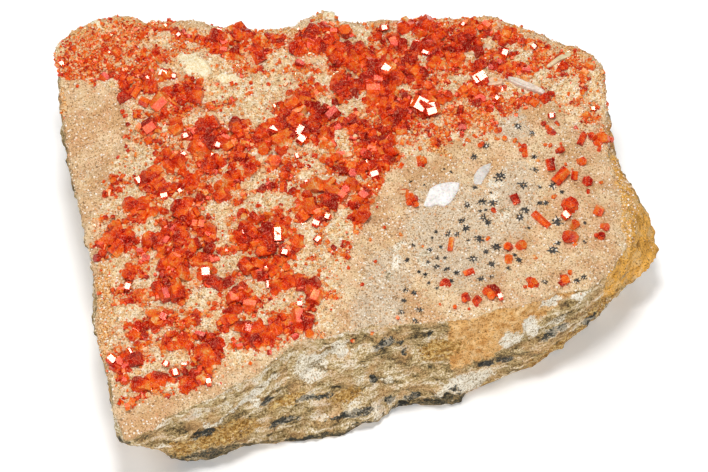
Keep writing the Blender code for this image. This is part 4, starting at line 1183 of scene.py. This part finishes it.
class SPECIMEN_OT_crust(bpy.types.Operator):
    """Grow the crust of small crystals"""

    bl_idname = "specimen.crust"
    bl_label = "Crust"

    def execute(self, context):
        settings = context.scene.specimen_crust
        tree = grow_tree()
        look = crystal_material("vanadinite_druse", settings)
        shapes = {
            "block": prism_shape("block_shape", rim=0.06),
            "plain": prism_shape("plain_shape"),
            "barrel": prism_shape("barrel_shape", top=0.8),
            "tiny": prism_shape("tiny_shape", sides=5, top=0.7),
            "cube": prism_shape("cube_shape", sides=4),
        }
        for name, pair, spacing, density, widths, bias, proportions, lift, tones, step in CROPS:
            piece = grow(
                "crust_" + name, tree, [shapes[shape] for shape in pair], look, mask="grow_" + name,
                spacing=spacing * MM, density=density, smallest=(widths[0] * MM or settings.smallest),
                largest=(widths[1] * MM or settings.largest), bias=bias, flattest=proportions[0],
                tallest=proportions[1], lift=lift, tone_low=tones[0], tone_high=tones[1],
                seed=settings.seed + step,
            )
            finish_piece(piece, "vanadinite", look)
        remove_shapes(*shapes.values())
        return {"FINISHED"}


class SPECIMEN_OT_grains(bpy.types.Operator):
    """Strew sugary grains over the skin of the rock"""

    bl_idname = "specimen.grains"
    bl_label = "Grains"

    def execute(self, context):
        look = grain_material()
        shapes = (grain_shape("grain_a_shape", 5), grain_shape("grain_b_shape", 6))
        grains = grow(
            "matrix_grains", grow_tree(), shapes, look, mask="grow_grains", spacing=0.25 * MM, density=3.4e6,
            smallest=0.18 * MM, largest=0.62 * MM, bias=1.6, flattest=0.6, tallest=1.0, lift=0.1,
            tone_low=0.0, tone_high=1.0, seed=context.scene.specimen_crust.seed + 4,
        )
        finish_piece(grains, "matrix_stone", look)
        remove_shapes(*shapes)
        return {"FINISHED"}


class SPECIMEN_OT_scattered(bpy.types.Operator):
    """Plant the crystals that stand alone and those that catch the light"""

    bl_idname = "specimen.scattered"
    bl_label = "Scattered crystals"

    def execute(self, context):
        settings = context.scene.specimen_crust
        rng = random.Random(settings.seed)
        ground = rock_surface()
        tree = plant_tree()
        look = crystal_material("vanadinite_scattered", settings)
        block = prism_shape("block_shape", rim=0.05)
        plain = prism_shape("plain_shape")
        lying = lying_shape("lying_shape")
        lone, sides = [], []
        for column, row, width, tone in LONE_CRYSTALS:
            place, facing = seat(ground, column, row)
            lean = Vector(rng.uniform(-0.7, 0.7) for _ in range(3))
            length = width * rng.uniform(0.7, 1.5)
            scale = Vector((width, width, length)) * MM
            lone.append((place + facing * 0.2 * width * MM, (facing + lean).normalized(), rng.uniform(0, 6),
                         scale, tone))
        for column, row, width, length in BRIGHT_FACES:
            place, facing = seat(ground, column, row)
            towards = (VIEWER * MM - place).normalized() + (KEY_PLACE - place).normalized()
            towards.normalize()
            upright = length > LONGEST_TURNED
            length = BRIGHT_SHARE * (length or width * rng.uniform(0.8, 1.5))
            width *= BRIGHT_SHARE
            spin = UPRIGHT_SPIN if upright else rng.uniform(0, 3)
            sides.append((place + facing * (0.3 + 0.5 * width) * MM, towards, spin,
                          Vector((length, width, width * 0.7)) * MM, 0.3))
        for name, shapes, spots in (("lone_crystals", (block, plain), lone),
                                    ("bright_crystals", (lying, lying), sides)):
            finish_piece(plant(name, tree, shapes, look, spots), "vanadinite", look)
        remove_shapes(block, plain, lying)
        return {"FINISHED"}


class SPECIMEN_OT_sprays(bpy.types.Operator):
    """Lay the black sprays on the bare skin"""

    bl_idname = "specimen.sprays"
    bl_label = "Black sprays"

    def execute(self, context):
        rng = random.Random(context.scene.specimen_crust.seed)
        ground = rock_surface()
        look = spray_material()
        shapes = (spray_shape("spray_a_shape", 9, 3), spray_shape("spray_b_shape", 7, 8))
        spots = []
        for column, row, radius in SPRAYS:
            place, facing = seat(ground, column, row)
            spots.append((place, facing, rng.uniform(0, 6), Vector((radius, radius, 1.0)) * 1.3 * MM, 0.0))
        item = plant("black_sprays", plant_tree(), shapes, look, spots)
        mesh = item.data
        heights = np.empty(len(mesh.vertices), np.float32)
        mesh.attributes["height"].data.foreach_get("value", heights)
        for vert, height in zip(mesh.vertices, heights):
            place, facing, _, _ = ground.find_nearest(vert.co)
            vert.co = place + facing * (0.05 + max(float(height), -0.05)) * MM
        finish_piece(item, "matrix_stone", look)
        remove_shapes(*shapes)
        return {"FINISHED"}


class SPECIMEN_OT_plates(bpy.types.Operator):
    """Set the pale plates and blades of other minerals on the rock"""

    bl_idname = "specimen.plates"
    bl_label = "Plates"

    def execute(self, context):
        ground = rock_surface()
        for name, thickness, colour, outline in PLATES:
            item = make_plate(ground, name, thickness, outline)
            finish_piece(item, "matrix_stone", plate_material(name + "_calcite", colour))
        return {"FINISHED"}


# How far each ring of a plate lies towards its outline, and how high it stands, as a share of the thickness.
PLATE_RINGS = ((1.0, -0.9), (1.06, 0.1), (1.04, 0.7), (0.92, 1.0), (0.6, 1.05), (0.3, 1.0))


def make_plate(ground, name, thickness, outline):
    """A plate with a broken edge, seated on the rock inside an outline on the sight grid."""
    corners = []
    for start, end in zip(outline, outline[1:] + outline[:1]):
        corners += [(start[0] + (end[0] - start[0]) * share, start[1] + (end[1] - start[1]) * share)
                    for share in (0.0, 0.33, 0.67)]
    middle = (sum(c[0] for c in outline) / len(outline), sum(c[1] for c in outline) / len(outline))
    up = seat(ground, *middle)[1]
    bm = bmesh.new()

    def corner(share, height, place):
        """A vertex part of the way from the middle to a place of the outline, above the rock."""
        column = middle[0] + share * (place[0] - middle[0])
        row = middle[1] + share * (place[1] - middle[1])
        seated = seat(ground, column, row)[0]
        rough = 0.25 * noise.noise(seated / MM * 0.9)
        return bm.verts.new(seated + up * thickness * (height + rough) * MM)

    rings = [[corner(share, height, place) for place in corners] for share, height in PLATE_RINGS]
    foot = corner(0.0, PLATE_RINGS[0][1], middle)
    top = corner(0.0, PLATE_RINGS[-1][1], middle)
    for lower, upper in zip(rings, rings[1:]):
        for place in range(len(corners)):
            after = (place + 1) % len(corners)
            bm.faces.new((lower[place], lower[after], upper[after], upper[place]))
    for place in range(len(corners)):
        after = (place + 1) % len(corners)
        bm.faces.new((rings[0][after], rings[0][place], foot))
        bm.faces.new((rings[-1][place], rings[-1][after], top))
    plate = shape_object(name + "_rough", bm)
    rounding = plate.modifiers.new("Round", "SUBSURF")
    rounding.levels = rounding.render_levels = 2
    return applied(plate, name)


# The small overhead light, and the soft lights: name, size and place, all in metres.
KEY_PLACE = Vector((-0.03, -0.09, 0.86))
KEY_SIZE = 0.17
SOFT_LIGHTS = (
    ("soft_front", (0.8, 0.3), (0.0, -1.0, 0.35)),
    ("soft_right", (0.25, 0.25), (0.9, -0.5, 0.7)),
    ("soft_left", (0.4, 0.3), (-0.5, 0.05, 0.95)),
    ("soft_back", (0.4, 0.3), (0.1, 0.6, 0.95)),
)


class SPECIMEN_OT_stage(bpy.types.Operator):
    """Set up the floor, the lights and the camera"""

    bl_idname = "specimen.stage"
    bl_label = "Stage"

    def execute(self, context):
        settings = context.scene.specimen_stage
        add_floor()
        add_lights(settings)
        add_camera(settings)
        return {"FINISHED"}


def add_floor():
    """The plain pale board that the specimen lies on."""
    bpy.ops.mesh.primitive_plane_add(size=3.0, location=(0.0, 0.0, 0.0))
    floor = bpy.context.object
    floor.name = "floor"
    floor.data.materials.append(plain_floor())


def area_light(name, radiance, size, place):
    """A square or oblong light of a given brightness that faces the specimen."""
    lamp = bpy.data.lights.new(name, "AREA")
    lamp.energy = radiance * math.pi * size[0] * size[1]
    lamp.shape = "RECTANGLE"
    lamp.size, lamp.size_y = size
    item = bpy.data.objects.new(name, lamp)
    bpy.context.scene.collection.objects.link(item)
    item.location = place
    item.rotation_euler = (Vector((0.0, 0.0, 0.015)) - place).to_track_quat("-Z", "Y").to_euler()


def add_lights(settings):
    """A small bright light overhead, larger and dimmer ones round it, and a pale surround."""
    area_light("key", settings.key, (KEY_SIZE, KEY_SIZE), KEY_PLACE)
    for name, size, place in SOFT_LIGHTS:
        area_light(name, settings.fill, size, Vector(place))
    world = bpy.data.worlds.new("surround")
    bpy.context.scene.world = world
    world.use_nodes = True
    back = world.node_tree.nodes["Background"]
    back.inputs["Color"].default_value = (1.0, 1.0, 1.0, 1.0)
    back.inputs["Strength"].default_value = settings.sky


def add_camera(settings):
    """The viewer's camera, which looks along the lines of sight."""
    data = bpy.data.cameras.new("camera")
    data.lens = settings.lens
    data.sensor_width = 36.0
    data.clip_start = 0.01
    data.clip_end = 20.0
    camera = bpy.data.objects.new("camera", data)
    bpy.context.scene.collection.objects.link(camera)
    camera.location = VIEWER * MM
    camera.rotation_euler = SIGHT_AWAY.to_track_quat("-Z", "Y").to_euler()
    bpy.context.scene.camera = camera
    bpy.context.scene.view_settings.view_transform = "Standard"


class SPECIMEN_PT_panel(bpy.types.Panel):
    """The specimen's pieces and settings"""

    bl_label = "Vanadinite on matrix"
    bl_idname = "SPECIMEN_PT_panel"
    bl_space_type = "VIEW_3D"
    bl_region_type = "UI"
    bl_category = "Specimen"

    def draw(self, context):
        for group, operators in PANEL_ROWS:
            settings = getattr(context.scene, group)
            box = self.layout.box()
            for name in settings.bl_rna.properties.keys():
                if name not in ("rna_type", "name"):
                    box.prop(settings, name)
            for operator in operators:
                box.operator(operator.bl_idname)


GROUPS = {
    "specimen_rock": RockSettings,
    "specimen_crust": CrustSettings,
    "specimen_stage": StageSettings,
}
PANEL_ROWS = (
    ("specimen_rock", (SPECIMEN_OT_rock, SPECIMEN_OT_plates, SPECIMEN_OT_sprays, SPECIMEN_OT_grains)),
    ("specimen_crust", (SPECIMEN_OT_crystals, SPECIMEN_OT_crust, SPECIMEN_OT_scattered)),
    ("specimen_stage", (SPECIMEN_OT_stage,)),
)
OPERATORS = tuple(operator for _, operators in PANEL_ROWS for operator in operators)


def register():
    """Adds the settings, the operators and the panel."""
    for kind in (*GROUPS.values(), *OPERATORS, SPECIMEN_PT_panel):
        bpy.utils.register_class(kind)
    for name, kind in GROUPS.items():
        setattr(bpy.types.Scene, name, PointerProperty(type=kind))


def unregister():
    """Takes them away again."""
    for name in GROUPS:
        delattr(bpy.types.Scene, name)
    for kind in reversed((*GROUPS.values(), *OPERATORS, SPECIMEN_PT_panel)):
        bpy.utils.unregister_class(kind)


def main():
    """Finishes the specimen with the default settings."""
    register()
    bpy.ops.specimen.rock()
    bpy.ops.specimen.plates()
    bpy.ops.specimen.sprays()
    bpy.ops.specimen.grains()
    bpy.ops.specimen.crystals()
    bpy.ops.specimen.crust()
    bpy.ops.specimen.scattered()
    bpy.ops.specimen.stage()


if __name__ == "__main__":
    main()
